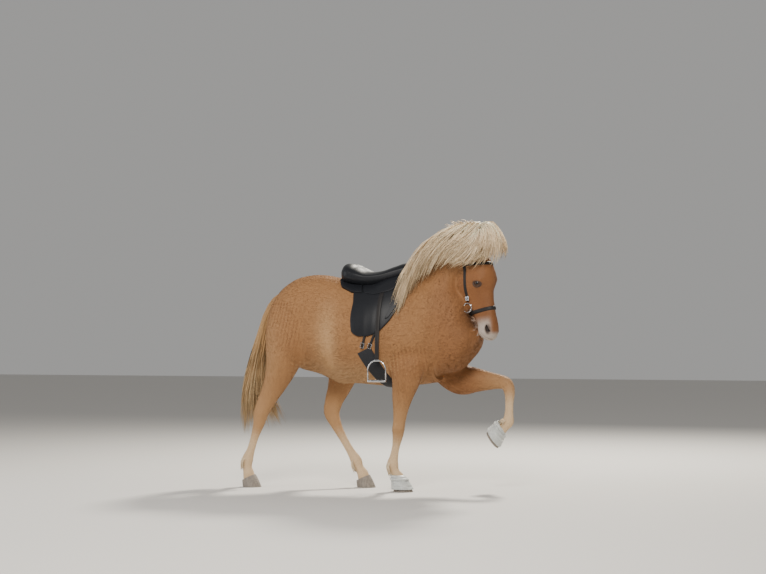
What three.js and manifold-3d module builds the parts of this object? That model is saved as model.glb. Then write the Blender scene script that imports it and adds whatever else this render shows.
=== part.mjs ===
// An Icelandic horse in the tolt, life size, wearing its saddle, bridle and heel boots.
// Millimetres. +X is forward, +Y is the horse's left (the far side), +Z is up.
// The body is modelled whole from lofted forms, then parted by thin cuts into the parts that a
// person would name. Mane, forelock, tail and fetlock hair are rooted in the part that they grow
// from and are cleared off everything that they pass over.
import * as THREE from "three";
import { mergeVertices } from "three/addons/utils/BufferGeometryUtils.js";
import Module from "manifold-3d";

const wasm = await Module();
wasm.setup();
const { Manifold, Mesh: SolidMesh } = wasm;
const V = (x, y, z) => new THREE.Vector3(x, y, z);
const rad = THREE.MathUtils.degToRad;

// Driving dimensions.
const GAP = 0.3; // between parts that touch
const WORN = 0.4; // between the body and what is worn on it
const FAR_AWAY = 900; // reach of a cutting block past the body
const HEAD_TURN = -21; // degrees, the head looks a little to the near side
const HEAD_TILT = 5; // degrees, the nose is ahead of the vertical
const POLL = V(480, -48, 1516);
const EYE = { x: 28, y: 69, z: -205, radius: 22, lid: 26.5, turn: 18 }; // in the head's frame
const HOOF = { long: 62, wide: 57, set: -24, top: 62, topLong: 43, topWide: 41, slope: 25 };
const SEED = 11;
const NEAR = -1; // the horse's right side
const FAR = 1; // the horse's left side
const SIDES = { near: NEAR, far: FAR };

// Every station of a loft is [x, y, z, front, back, side, squareness].
const TORSO = [
  [-950, 0, 1130, 70, 90, 60, 2],
  [-905, 0, 1120, 175, 170, 150, 2.1],
  [-830, 0, 1105, 250, 250, 212, 2.2],
  [-740, 0, 1090, 298, 300, 246, 2.2],
  [-640, 0, 1070, 325, 318, 256, 2.2],
  [-540, 0, 1040, 335, 312, 258, 2.1],
  [-440, 0, 1010, 332, 312, 268, 2.1],
  [-330, 0, 985, 342, 305, 282, 2.1],
  [-210, 0, 975, 355, 308, 286, 2.1],
  [-100, 0, 975, 388, 315, 268, 2.1],
  [20, 0, 985, 400, 318, 238, 2.1],
  [140, 0, 1000, 385, 318, 214, 2.1],
  [250, 0, 1000, 335, 298, 200, 2.2],
  [350, 0, 965, 190, 228, 184, 2.2],
  [430, 0, 942, 112, 144, 146, 2.2],
  [462, 0, 928, 62, 80, 88, 2],
];
// Front is the crest and back is the throat.
const NECK = [
  [120, 0, 1120, 250, 290, 200, 2],
  [228, 0, 1232, 268, 230, 172, 2],
  [262, -4, 1318, 224, 138, 140, 2],
  [302, -12, 1386, 188, 112, 116, 2],
  [348, -24, 1424, 170, 106, 100, 2],
  [402, -36, 1444, 148, 106, 92, 2],
  [460, -47, 1444, 122, 108, 84, 2],
  [502, -56, 1430, 84, 88, 72, 2],
];
// In the head's frame, whose origin is the poll: +X is where the face looks, -Z runs down the nose.
const HEAD = [
  [-34, 0, 6, 42, 38, 40, 2],
  [-32, 0, -32, 92, 88, 70, 2.1],
  [-34, 0, -75, 124, 130, 82, 2.2],
  [-40, 0, -125, 146, 152, 89, 2.3],
  [-46, 0, -180, 152, 160, 88, 2.3],
  [-46, 0, -230, 150, 156, 79, 2.3],
  [-36, 0, -280, 134, 140, 66, 2.3],
  [-18, 0, -325, 113, 114, 57, 2.3],
  [2, 0, -370, 92, 90, 51, 2.3],
  [17, 0, -415, 80, 72, 48, 2.3],
  [28, 0, -458, 74, 66, 49, 2.4],
  [32, 0, -498, 71, 66, 51, 2.3],
  [29, 0, -532, 61, 60, 46, 2.2],
  [22, 0, -556, 38, 40, 32, 2],
];
// Each leg runs down from inside the body to the top of its hoof.
const LEGS = {
  near_fore: [
    [75, -140, 960, 130, 130, 62, 2],
    [48, -158, 820, 122, 112, 74, 2],
    [34, -160, 705, 96, 92, 70, 2],
    [8, -150, 600, 68, 70, 54, 2],
    [-8, -140, 510, 50, 52, 42, 2],
    [-20, -132, 440, 42, 42, 37, 2.2],
    [-27, -127, 396, 42, 42, 39, 2.4],
    [-32, -123, 352, 35, 38, 34, 2.2],
    [-44, -117, 285, 25, 33, 22, 2],
    [-58, -111, 222, 26, 36, 23, 2],
    [-68, -107, 172, 35, 44, 32, 2],
    [-58, -104, 128, 30, 37, 28, 2],
    [-38, -101, 94, 38, 40, 36, 2],
    [-22, -100, 50, 44, 44, 40, 2],
  ],
  far_fore: [
    [180, 120, 890, 150, 140, 60, 2],
    [225, 142, 780, 135, 125, 72, 2],
    [300, 150, 712, 108, 106, 72, 2],
    [400, 148, 706, 82, 84, 60, 2],
    [490, 142, 700, 62, 62, 46, 2],
    [560, 137, 694, 50, 48, 39, 2.2],
    [604, 134, 684, 46, 42, 39, 2.3],
    [628, 132, 640, 37, 40, 35, 2.2],
    [630, 131, 560, 27, 33, 23, 2],
    [628, 130, 490, 27, 36, 23, 2],
    [622, 130, 440, 36, 44, 32, 2],
    [600, 130, 410, 30, 36, 28, 2],
    [576, 130, 392, 38, 40, 36, 2],
    [540, 130, 366, 44, 44, 40, 2],
  ],
  near_hind: [
    [-740, -118, 1180, 150, 170, 95, 2],
    [-760, -142, 1020, 140, 178, 112, 2],
    [-785, -155, 880, 122, 152, 108, 2],
    [-828, -152, 755, 92, 112, 82, 2],
    [-880, -145, 650, 70, 84, 58, 2],
    [-932, -138, 558, 52, 70, 43, 2.1],
    [-972, -132, 482, 45, 60, 38, 2.3],
    [-996, -128, 415, 40, 42, 33, 2.2],
    [-1026, -123, 330, 29, 33, 24, 2],
    [-1056, -118, 240, 28, 34, 24, 2],
    [-1080, -114, 172, 36, 44, 32, 2],
    [-1082, -112, 128, 30, 37, 28, 2],
    [-1078, -110, 94, 38, 40, 36, 2],
    [-1070, -110, 50, 44, 44, 39, 2],
  ],
  far_hind: [
    [-640, 118, 1150, 160, 160, 95, 2],
    [-590, 145, 980, 150, 160, 112, 2],
    [-540, 158, 840, 130, 140, 106, 2],
    [-520, 152, 735, 104, 104, 80, 2],
    [-540, 144, 640, 76, 84, 58, 2],
    [-568, 136, 555, 56, 72, 43, 2.1],
    [-582, 130, 482, 50, 62, 38, 2.3],
    [-560, 127, 415, 40, 42, 33, 2.2],
    [-508, 124, 325, 29, 33, 24, 2],
    [-450, 122, 235, 28, 34, 24, 2],
    [-404, 120, 168, 36, 44, 32, 2],
    [-386, 119, 126, 30, 37, 28, 2],
    [-366, 118, 94, 38, 40, 36, 2],
    [-352, 118, 50, 44, 44, 39, 2],
  ],
};
// Middle of each sole, and how far the foot is turned about Y, in degrees.
const FEET = {
  near_fore: { x: -4, y: -100, z: 0, turn: 0, booted: true },
  far_fore: { x: 515, y: 130, z: 324, turn: 55, booted: true },
  near_hind: { x: -1052, y: -110, z: 0, turn: 0, booted: false },
  far_hind: { x: -338, y: 118, z: 0, turn: 0, booted: false },
};
// Muscles and bones that swell or sink the surface: [x, y, z, reach x, y, z, rise], both sides.
const BODY_SWELLS = [
  [170, 190, 1130, 90, 120, 150, 14], // shoulder
  [60, 200, 960, 90, 110, 110, 12], // arm
  [235, 190, 1010, 46, 110, 190, -9], // hollow ahead of the shoulder
  [395, 95, 900, 90, 70, 90, 22], // breast
  [430, 0, 930, 70, 34, 130, -14], // furrow of the breast
  [-700, 150, 1260, 200, 110, 120, 10], // croup
  [-500, 215, 1180, 60, 70, 60, 12], // point of the hip
  [-620, 240, 1080, 70, 90, 130, -8], // hollow behind the hip
  [-860, 110, 1080, 80, 80, 150, 16], // buttock
  [-905, 0, 1050, 90, 34, 190, -26], // cleft under the tail
  [-430, 250, 900, 60, 90, 110, -8], // flank
];
const HEAD_SWELLS = [
  [-110, 70, -215, 80, 60, 80, 12], // cheek
  [52, 86, -178, 46, 46, 38, 21], // bone over the eye
  [30, 72, -262, 14, 40, 70, 7], // bone below the eye
  [70, 0, -300, 60, 26, 120, 5], // bridge of the nose
  [44, 60, -335, 34, 40, 60, -7], // hollow beside the nose
  [66, 34, -490, 26, 30, 34, 9], // nostril
  [-24, 0, -520, 30, 40, 26, 8], // chin
  [48, 0, -545, 34, 50, 22, 6], // upper lip
];

const lerp = THREE.MathUtils.lerp;

let state = SEED;
// A repeatable random number from 0 to 1.
function random() {
  state = (state * 1664525 + 1013904223) % 4294967296;
  return state / 4294967296;
}
const vary = (amount) => (random() * 2 - 1) * amount;

// A closed solid from a geometry, turned to face outwards.
function solid(geometry) {
  const bare = new THREE.BufferGeometry();
  bare.setAttribute("position", geometry.getAttribute("position"));
  if (geometry.index) bare.setIndex(geometry.index);
  const merged = mergeVertices(bare, 1e-3);
  const corners = new Uint32Array(merged.index.array);
  const points = merged.attributes.position;
  const [a, b, c] = [V(), V(), V()];
  let volume = 0;
  for (let i = 0; i < corners.length; i += 3) {
    a.fromBufferAttribute(points, corners[i]);
    b.fromBufferAttribute(points, corners[i + 1]);
    c.fromBufferAttribute(points, corners[i + 2]);
    volume += a.dot(b.cross(c));
  }
  if (volume < 0)
    for (let i = 0; i < corners.length; i += 3)
      [corners[i + 1], corners[i + 2]] = [corners[i + 2], corners[i + 1]];
  return new Manifold(
    new SolidMesh({ numProp: 3, vertProperties: new Float32Array(points.array), triVerts: corners }),
  );
}

const join = (solids) => Manifold.union(solids);

// The largest closed surface of a solid.
function largest(whole) {
  const pieces = whole.decompose();
  return pieces.reduce((best, piece) => (piece.volume() > best.volume() ? piece : best));
}

// A sphere whose every point is moved: place(turn, row) gives it, rows 0 and last are its poles.
function form(around, rows, place) {
  const sphere = new THREE.SphereGeometry(1, around, rows);
  const points = sphere.attributes.position;
  for (let row = 0; row <= rows; row++)
    for (let column = 0; column <= around; column++) {
      const p = place((column % around) / around, row);
      points.setXYZ(row * (around + 1) + column, p.x, p.y, p.z);
    }
  return sphere;
}

// The place, direction and section of a loft at a share t of its length.
function sectionsOf(stations) {
  const run = [0];
  for (let i = 1; i < stations.length; i++)
    run.push(run[i - 1] + Math.hypot(...[0, 1, 2].map((k) => stations[i][k] - stations[i - 1][k])));
  const between = new THREE.CubicInterpolant(run, stations.flat(), stations[0].length);
  const length = run[run.length - 1];
  const at = (t) => [...between.evaluate(THREE.MathUtils.clamp(t, 0, 1) * length)];
  const section = (t) => {
    const [x, y, z, front, back, side, square] = at(t);
    const ahead = at(t + 0.01);
    const behind = at(t - 0.01);
    const along = V(...[0, 1, 2].map((k) => ahead[k] - behind[k])).normalize();
    const forward = along.clone().cross(V(0, 1, 0)).normalize();
    const left = forward.clone().cross(along).normalize();
    return { centre: V(x, y, z), along, forward, left, front, back, side, square };
  };
  section.shareOf = (station) => run[station] / length;
  return section;
}

function swellOf(point, swells) {
  return swells.reduce((sum, [x, y, z, rx, ry, rz, rise]) => {
    const dx = (point.x - x) / rx;
    const dy = (Math.abs(point.y) - y) / ry;
    const dz = (point.z - z) / rz;
    return sum + rise * Math.exp(-(dx * dx + dy * dy + dz * dz));
  }, 0);
}

// The point of a section at an angle, grown outwards by some millimetres.
function rim(section, angle, grow, swells) {
  const power = 2 / section.square;
  const c = Math.cos(angle);
  const s = Math.sin(angle);
  const reach = c > 0 ? section.front : section.back;
  const out = V()
    .addScaledVector(section.forward, Math.sign(c) * Math.abs(c) ** power * reach)
    .addScaledVector(section.left, Math.sign(s) * Math.abs(s) ** power * section.side);
  const point = section.centre.clone().add(out);
  return point.addScaledVector(out.normalize(), grow + swellOf(point, swells));
}

function loft(stations, around, rows, grow = 0, swells = []) {
  const section = sectionsOf(stations);
  const poles = [0, 1].map((end) => {
    const { centre, along, side } = section(end);
    return centre.clone().addScaledVector(along, (end * 2 - 1) * (0.3 * side + grow));
  });
  return form(around, rows, (turn, row) => {
    if (row === 0) return poles[0];
    if (row === rows) return poles[1];
    return rim(section((row - 1) / (rows - 2)), turn * 2 * Math.PI, grow, swells);
  });
}

function box([x0, x1], [y0, y1], [z0, z1]) {
  const block = new THREE.BoxGeometry(x1 - x0, y1 - y0, z1 - z0);
  return block.translate((x0 + x1) / 2, (y0 + y1) / 2, (z0 + z1) / 2);
}

function ball(x, y, z, [rx, ry, rz], around = 14, rows = 10) {
  return new THREE.SphereGeometry(1, around, rows).scale(rx, ry, rz).translate(x, y, z);
}

// A side view outline of [x, z] points, run across the horse from y0 to y1.
function prism(outline, [y0, y1], hole = null) {
  const shape = new THREE.Shape(outline.map(([x, z]) => new THREE.Vector2(x, z)));
  if (hole) shape.holes.push(new THREE.Path(hole.map(([x, z]) => new THREE.Vector2(x, z))));
  const block = new THREE.ExtrudeGeometry(shape, { depth: y1 - y0, bevelEnabled: false });
  return block.rotateX(Math.PI / 2).translate(0, y1, 0);
}

// The outline of a strap of even width along a few [x, z] points.
function strip(points, width) {
  const line = points.map(([x, z]) => new THREE.Vector2(x, z));
  const edge = (side) =>
    line.map((p, i) => {
      const ahead = line[Math.min(i + 1, line.length - 1)];
      const behind = line[Math.max(i - 1, 0)];
      const along = ahead.clone().sub(behind).normalize();
      return [p.x - along.y * side * (width / 2), p.y + along.x * side * (width / 2)];
    });
  return [...edge(1), ...edge(-1).reverse()];
}

// The head's frame, and each foot's, in the horse's frame.
const headFrame = new THREE.Matrix4()
  .makeRotationFromEuler(new THREE.Euler(0, rad(-HEAD_TILT), rad(HEAD_TURN), "ZYX"))
  .setPosition(POLL);
const inHead = (geometry) => solid(geometry.applyMatrix4(headFrame));
const headPoint = (x, y, z) => V(x, y, z).applyMatrix4(headFrame);
const footFrame = ({ x, y, z, turn }) =>
  new THREE.Matrix4().makeRotationY(rad(turn)).setPosition(x, y, z);

// Trunk, neck, head and legs, each grown by some millimetres for what lies on them.
const torsoForm = (grow = 0) => solid(loft(TORSO, 18, 17, grow, BODY_SWELLS));
const neckForm = (grow = 0) => solid(loft(NECK, 16, 9, grow, BODY_SWELLS));
const headForm = (grow = 0) => inHead(loft(HEAD, 18, 17, grow, HEAD_SWELLS));
const legForm = (name, grow = 0) => solid(loft(LEGS[name], 10, 18, grow));
const bodyForm = (grow = 0) => join([torsoForm(grow), neckForm(grow)]);
const legsForm = (grow = 0) => join(Object.keys(LEGS).map((name) => legForm(name, grow)));

// Cutting plates, all GAP thick. The plate lies on its local origin, normal to local Z.
function plate(position, normal, wide, deep) {
  const block = new THREE.BoxGeometry(wide, deep, GAP);
  const up = normal.clone().normalize();
  const across = V(0, 1, 0).addScaledVector(up, -up.y).normalize();
  const frame = new THREE.Matrix4().makeBasis(across.clone().cross(up), across, up);
  return solid(block.applyMatrix4(frame.setPosition(position)));
}

function legPlate(name, station, size = 200) {
  const section = sectionsOf(LEGS[name]);
  const { centre, along } = section(section.shareOf(station));
  return plate(centre, along, size, size);
}

// Plates along every stretch of a side view line.
function linePlates(line, span) {
  return line.slice(1).map((to, i) => solid(prism(strip([line[i], to], GAP), span)));
}

// A plate over a limb along a side view line, and the wall that hangs from it inside the limb.
function limbPlate(line, corner, side, inner) {
  const span = (from, to) => (side > 0 ? [from, to] : [-to, -from]);
  const foot = corner.length ? [corner] : [];
  const wall = solid(prism([...line, ...foot], span(inner - GAP, inner)));
  return join([wall, ...linePlates(line, span(inner - GAP, 420))]);
}

// Hooves: a cone from the sloped top to the flat sole, in the foot's frame.
function hoofForm(foot, grow = 0) {
  const ring = (turn, long, wide, set, z) => {
    const angle = turn * 2 * Math.PI;
    return V(set + Math.cos(angle) * (long + grow), Math.sin(angle) * (wide + grow), z);
  };
  const rows = 5;
  const cone = form(16, rows, (turn, row) => {
    if (row === 0) return V(HOOF.set, 0, HOOF.top + grow);
    if (row === rows) return V(0, 0, -grow);
    const share = (row - 1) / (rows - 2);
    const flat = ring(
      turn,
      lerp(HOOF.topLong, HOOF.long, share ** 0.8),
      lerp(HOOF.topWide, HOOF.wide, share ** 0.8),
      lerp(HOOF.set, 0, share),
      lerp(HOOF.top + grow, -grow, share),
    );
    flat.z += (1 - share) * (flat.x - HOOF.set) * Math.tan(rad(HOOF.slope));
    return flat;
  });
  return solid(cone.applyMatrix4(footFrame(foot)));
}

// What lies under the top of a hoof, to end the pastern on it.
function underCoronet(foot) {
  const block = box([-FAR_AWAY / 4, FAR_AWAY / 4], [-120, 120], [-250, 0]);
  block.rotateY(-rad(HOOF.slope)).translate(HOOF.set, 0, HOOF.top + GAP);
  return solid(block.applyMatrix4(footFrame(foot)));
}

// Heel boots: ribbed rubber bells over the hoof, in the foot's frame.
function bootForm(foot) {
  const [high, low, ribs] = [104, 16, 3];
  const rows = ribs * 2 + 3;
  const wall = (turn, share, out) => {
    const angle = turn * 2 * Math.PI;
    const long = lerp(41, 71, share ** 0.75) + out;
    const wide = lerp(38, 66, share ** 0.75) + out;
    const set = lerp(-42, -6, share ** 0.7);
    return V(set + Math.cos(angle) * long, Math.sin(angle) * wide, lerp(high, low, share));
  };
  const outer = form(12, rows, (turn, row) => {
    if (row === 0) return V(-42, 0, high);
    if (row === rows) return V(-6, 0, low);
    return wall(turn, (row - 1) / (rows - 2), row % 2 ? 0 : 2.2);
  });
  const inner = form(12, 5, (turn, row) => {
    if (row === 0) return V(-30, 0, 66);
    if (row === 5) return V(-4, 0, low - 8);
    return wall(turn, lerp(0.42, 1.1, (row - 1) / 3), -6);
  });
  return [outer, inner].map((piece) => solid(piece.applyMatrix4(footFrame(foot))));
}

// Head details.
const eyeAt = (side) => [EYE.x, EYE.y * side, EYE.z];
function eyeBall(side, radius, around = 12, rows = 8) {
  return inHead(ball(...eyeAt(side), [radius, radius, radius], around, rows));
}
function lidOpening(side) {
  const slit = ball(0, 0, 0, [17, 16, 9.5], 12, 8);
  slit.rotateY(rad(EYE.turn)).translate(EYE.x + 8, (EYE.y + 19) * side, EYE.z);
  return inHead(slit);
}
function nostril(side) {
  const cup = ball(0, 0, 0, [10, 15, 19], 10, 6);
  cup.rotateX(rad(-16 * side)).rotateY(rad(-24)).translate(62, 47 * side, -494);
  return inHead(cup);
}
const MOUTH = [
  [62, -575],
  [30, -556],
  [8, -520],
  [-16, -462],
];

// Ears, in the head's frame: base, direction, and a cup open to the front and side.
function earForm(side, grow = 0) {
  const lengthwise = V(-0.72, 0.34 * side, 0.6).normalize();
  const open = V(0.35, 0.86 * side, 0.15).addScaledVector(lengthwise, 0).normalize();
  open.addScaledVector(lengthwise, -open.dot(lengthwise)).normalize();
  const wide = lengthwise.clone().cross(open);
  const base = V(-12, 44 * side, -8);
  const length = 158;
  const shell = (hollow) => (turn, row, rows) => {
    const share = row / rows;
    const s = lerp(hollow ? 0.2 : 0, hollow ? 0.99 : 1, share);
    const width = (Math.sin(Math.PI * Math.min(1, 0.18 + s * 0.82) ** 0.9) ** 0.75 * 27 + 2) * (hollow ? 0.66 : 1);
    const depth = width * (hollow ? 0.62 : 0.7);
    const angle = turn * 2 * Math.PI;
    const flat = row === 0 || row === rows ? 0 : 1;
    return base
      .clone()
      .addScaledVector(lengthwise, s * length + (hollow ? 0 : grow * (share * 2 - 1)))
      .addScaledVector(wide, Math.cos(angle) * (width + grow) * flat)
      .addScaledVector(open, Math.sin(angle) * (depth + grow) * flat + (hollow ? 12 : 0));
  };
  const outer = form(10, 7, (turn, row) => shell(false)(turn, row, 7));
  if (grow) return inHead(outer);
  const cup = form(8, 6, (turn, row) => shell(true)(turn, row, 6));
  return inHead(outer).subtract(inHead(cup));
}

// The flesh, whole.
const flesh = join([bodyForm(), headForm(), legsForm()]);

// The cuts between the parts of the body.
const neckBase = { point: V(235, 0, 1205), normal: V(-0.66, 0, -0.75) };
const HEAD_LINE = [
  [-112, 110],
  [-218, -190],
  [-152, -300],
  [-96, -372],
  [-62, -424],
  [-54, -464],
];
const LIMB_LINES = {
  near_fore: { inner: 78, line: [[-95, 630], [-78, 745], [60, 775], [150, 740], [178, 640]] },
  far_fore: { inner: 72, line: [[200, 630], [468, 862], [530, 905]], corner: [530, 630] },
  near_hind: { inner: 46, line: [[-1030, 905], [-700, 835], [-640, 745], [-640, 600]] },
  far_hind: { inner: 46, line: [[-725, 690], [-690, 800], [-540, 815], [-395, 770], [-368, 640]] },
};
const cuts = [
  plate(neckBase.point, neckBase.normal, 860, 700),
  ...linePlates(HEAD_LINE, [-220, 220]).map((piece) => piece.transform(headFrame.elements)),
];
for (const [name, { inner, line, corner = [] }] of Object.entries(LIMB_LINES))
  cuts.push(limbPlate(line, corner, name.startsWith("near") ? NEAR : FAR, inner));
for (const name of Object.keys(LEGS)) {
  cuts.push(legPlate(name, 7), legPlate(name, 9), underCoronet(FEET[name]));
}
const pieces = flesh.subtract(join(cuts)).decompose();
const partAt = (x, y, z) => {
  const probe = solid(ball(x, y, z, [2, 2, 2], 6, 4));
  return pieces.find((piece) => !piece.intersect(probe).isEmpty());
};
const MARKS = {
  torso: [-300, 0, 1000],
  neck: [220, 0, 1300],
  near_fore: [8, -150, 600],
  far_fore: [490, 142, 700],
  near_hind: [-880, -145, 650],
  far_hind: [-540, 144, 640],
};

// Hair paths: rows of [root, rise, over, fall, tip], from one end of the growth to the other.
const MANE = [
  [[66, 0, 1360], [58, -20, 1430], [34, -120, 1370], [10, -200, 1220], [-12, -236, 1062]],
  [[150, 0, 1425], [150, -20, 1525], [110, -110, 1480], [58, -185, 1330], [18, -222, 1130]],
  [[225, -5, 1475], [235, -22, 1600], [185, -110, 1560], [118, -168, 1420], [72, -196, 1228]],
  [[305, -20, 1515], [330, -35, 1650], [270, -112, 1605], [188, -162, 1480], [128, -186, 1318]],
  [[380, -38, 1525], [425, -50, 1682], [370, -124, 1625], [270, -170, 1500], [196, -190, 1352]],
  [[440, -50, 1515], [505, -66, 1694], [470, -146, 1605], [386, -184, 1500], [290, -194, 1418]],
];
const FORELOCK = [
  [[462, -84, 1490], [500, -132, 1610], [500, -172, 1540], [455, -190, 1455], [370, -190, 1418]],
  [[478, -66, 1495], [520, -98, 1676], [585, -134, 1600], [592, -156, 1495], [560, -166, 1424]],
  [[495, -50, 1495], [545, -62, 1690], [628, -70, 1620], [652, -76, 1530], [640, -88, 1446]],
  [[495, -32, 1495], [545, -5, 1660], [618, 4, 1600], [640, 12, 1525], [628, 14, 1458]],
];
// Paths around the dock: back, near side, front, far side, and back again.
const TAIL_BACK = [
  [-915, 0, 1262], [-990, 0, 1190], [-1052, 0, 1000], [-1120, 5, 780], [-1160, 10, 560],
  [-1160, 10, 330],
];
const TAIL = [
  TAIL_BACK,
  [[-915, -12, 1250], [-975, -34, 1150], [-1020, -50, 980], [-1070, -50, 760], [-1105, -46, 570],
    [-1105, -30, 380]],
  [[-915, 0, 1235], [-962, 0, 1110], [-992, 0, 940], [-1010, 10, 750], [-980, 30, 560],
    [-900, 45, 395]],
  [[-915, 12, 1250], [-975, 34, 1150], [-1020, 54, 980], [-1062, 70, 760], [-1062, 82, 560],
    [-1010, 80, 370]],
  TAIL_BACK,
];
const DOCK = [
  [-895, 0, 1262, 26, 26, 24, 2],
  [-950, 0, 1226, 32, 32, 28, 2],
  [-992, 0, 1120, 34, 34, 36, 2],
  [-1020, 0, 990, 30, 30, 34, 2],
  [-1052, 6, 850, 16, 16, 20, 2],
];

// Sections along the body, to lay hair on.
const inverseHead = headFrame.clone().invert();
const layers = [TORSO, NECK, HEAD].map((stations) => {
  const section = sectionsOf(stations);
  return Array.from({ length: 48 }, (_, i) => section(i / 47));
});
// A point moved out of the flesh where it's less than some millimetres above it.
function laidOn(point, lift) {
  const moved = point.clone();
  layers.forEach((sections, i) => {
    if (i === 2) moved.applyMatrix4(inverseHead);
    let nearest = null;
    let least = Infinity;
    for (const section of sections) {
      const away = moved.clone().sub(section.centre);
      const miss = Math.abs(away.dot(section.along)) + 0.1 * away.length();
      if (miss < least) [nearest, least] = [section, miss];
    }
    const away = moved.clone().sub(nearest.centre);
    const off = away.dot(nearest.along);
    if (Math.abs(off) < 25) {
      const a = away.dot(nearest.forward);
      const b = away.dot(nearest.left);
      const reach = a > 0 ? nearest.front : nearest.back;
      const q = nearest.square;
      const inside = (Math.abs(a / (reach + lift)) ** q + Math.abs(b / (nearest.side + lift)) ** q) ** (1 / q);
      if (inside < 1) {
        moved.addScaledVector(nearest.forward, a / inside - a);
        moved.addScaledVector(nearest.left, b / inside - b);
      }
    }
    if (i === 2) moved.applyMatrix4(headFrame);
  });
  return moved;
}

const follow = (points) => new THREE.CatmullRomCurve3(points.map((p) => V(...p)));
const ROOT_SHARE = 0.22; // of a lock's length, which rises from inside the flesh
// The point of a hair field at a share across its rows and a share along its paths.
function hairPoint(rows, across, along, lift = 12) {
  const line = rows.map((row) => follow(row).getPoint(along).toArray());
  const free = follow(line).getPoint(across);
  return along > ROOT_SHARE ? laidOn(free, lift) : free;
}

// One flat lock along a path: wide and thin, pointed at its tip, its root inside the flesh.
function lock(pathAt, wide, thick, rows = 6) {
  const step = 0.03;
  const at = Array.from({ length: rows + 1 }, (_, row) => pathAt(row / rows));
  return solid(
    form(4, rows, (turn, row) => {
      const share = row / rows;
      const along = pathAt(Math.min(1, share + step)).place.sub(pathAt(Math.max(0, share - step)).place);
      const { place: centre, out } = at[row];
      const aside = along.clone().cross(out).normalize();
      const flat = aside.clone().cross(along).normalize();
      const body = row === 0 || row === rows ? 0 : Math.sin(Math.PI * (0.2 + 0.8 * share) ** 0.85) ** 0.8;
      return centre
        .clone()
        .addScaledVector(aside, (Math.cos(turn * 2 * Math.PI) * wide * body) / 2)
        .addScaledVector(flat, (Math.sin(turn * 2 * Math.PI) * thick * body) / 2);
    }),
  );
}

// Locks spread over a hair field. Every lock differs in reach, lift, bend and width.
function locksOf(paths, { count, wide, thick, rows = 6, grow = 0, lift = 10, stray = 0, layers = 2 }) {
  state = SEED;
  const locks = Array.from({ length: count }, (_, i) => {
    const share = THREE.MathUtils.clamp((i + 0.5 + vary(0.4)) / count, 0, 1);
    const layer = i % layers;
    const reach = 0.86 + 0.16 * random() - 0.12 * layer;
    const bend = vary(26);
    const rise = lift + layer * 13 + 6 * random();
    const fly = stray * random() ** 3;
    const width = (wide + vary(wide * 0.25)) * (1 - 0.15 * layer) + grow * 2;
    const pathAt = (along) => {
      const t = along * reach;
      const shifted = THREE.MathUtils.clamp(share + (bend / 900) * t * t, 0, 1);
      const place = hairPoint(paths, shifted, t, rise);
      const beside = hairPoint(paths, Math.min(1, shifted + 0.04), t, rise).sub(
        hairPoint(paths, Math.max(0, shifted - 0.04), t, rise),
      );
      const ahead = hairPoint(paths, shifted, Math.min(1, t + 0.04), rise).sub(
        hairPoint(paths, shifted, Math.max(0, t - 0.04), rise),
      );
      const out = ahead.cross(beside).normalize();
      place.addScaledVector(out, fly * along * along);
      place.z += fly * 0.6 * along * along;
      return { place, out };
    };
    return lock(pathAt, width, thick + grow * 2, rows);
  });
  return join(locks);
}

// Feathering: a few locks that hang from the back of a fetlock.
function feather(name) {
  const section = sectionsOf(LEGS[name]);
  const shares = [10, 11, 12].map(section.shareOf);
  const locks = [-0.75, 0, 0.75].map((turn) => {
    const line = [-8, 7, 12, 16].map((grow, i) => {
      const share = lerp(shares[0], shares[1], [0, 0.3, 0.7, 1.15][i] + vary(0.06));
      return rim(section(share), Math.PI + turn * (1 - 0.15 * i), grow, []).toArray();
    });
    const path = follow(line);
    return lock(
      (along) => {
        const { forward, left } = section(lerp(shares[0], shares[1], along));
        const out = V().addScaledVector(forward, -Math.cos(turn)).addScaledVector(left, -Math.sin(turn));
        return { place: path.getPoint(along), out };
      },
      34,
      16,
      4,
    );
  });
  return join(locks);
}

// What is worn: shells that lie on the body or head.
const bodyShell = (thick) => join([bodyForm(thick), legsForm(thick)]);
const bareBody = join([bodyForm(WORN), legsForm(WORN)]);
const bareAll = join([bareBody, headForm(WORN)]);
const across = [-FAR_AWAY / 2, FAR_AWAY / 2];

// Saddle: flaps and panels that follow the back, and a deep seat between pommel and cantle.
const SADDLE = { flap: 13, skirt: 19, girth: 10, billet: 5 };
const FLAP_LINE = [
  [52, 1520], [62, 1390], [52, 1290], [16, 1180], [-45, 1078], [-100, 1018], [-170, 984],
  [-245, 982], [-288, 1008], [-300, 1100], [-296, 1200], [-330, 1262], [-405, 1300], [-432, 1340],
  [-440, 1520],
];
const SKIRT_LINE = [
  [40, 1520], [48, 1400], [20, 1318], [-60, 1262], [-160, 1240], [-235, 1252], [-270, 1300],
  [-300, 1360], [-310, 1520],
];
const SEAT = [
  [-432, 0, 1385, 52, 60, 90, 2.2],
  [-400, 0, 1385, 74, 70, 145, 2.3],
  [-340, 0, 1372, 66, 70, 160, 2.3],
  [-250, 0, 1358, 44, 70, 150, 2.3],
  [-150, 0, 1368, 40, 70, 128, 2.3],
  [-60, 0, 1392, 46, 70, 104, 2.2],
  [10, 0, 1405, 50, 70, 82, 2.2],
  [44, 0, 1402, 34, 60, 60, 2],
];
const saddle = join([
  bodyForm(SADDLE.flap).intersect(solid(prism(FLAP_LINE, across))),
  bodyForm(SADDLE.skirt).intersect(solid(prism(SKIRT_LINE, across))),
  solid(loft(SEAT, 16, 12)),
]).subtract(bareBody);
const aroundSaddle = join([
  bodyForm(SADDLE.flap + GAP).intersect(solid(prism(FLAP_LINE, across))),
  bodyForm(SADDLE.skirt + GAP).intersect(solid(prism(SKIRT_LINE, across))),
  solid(loft(SEAT, 16, 12, GAP)),
]);

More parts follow.
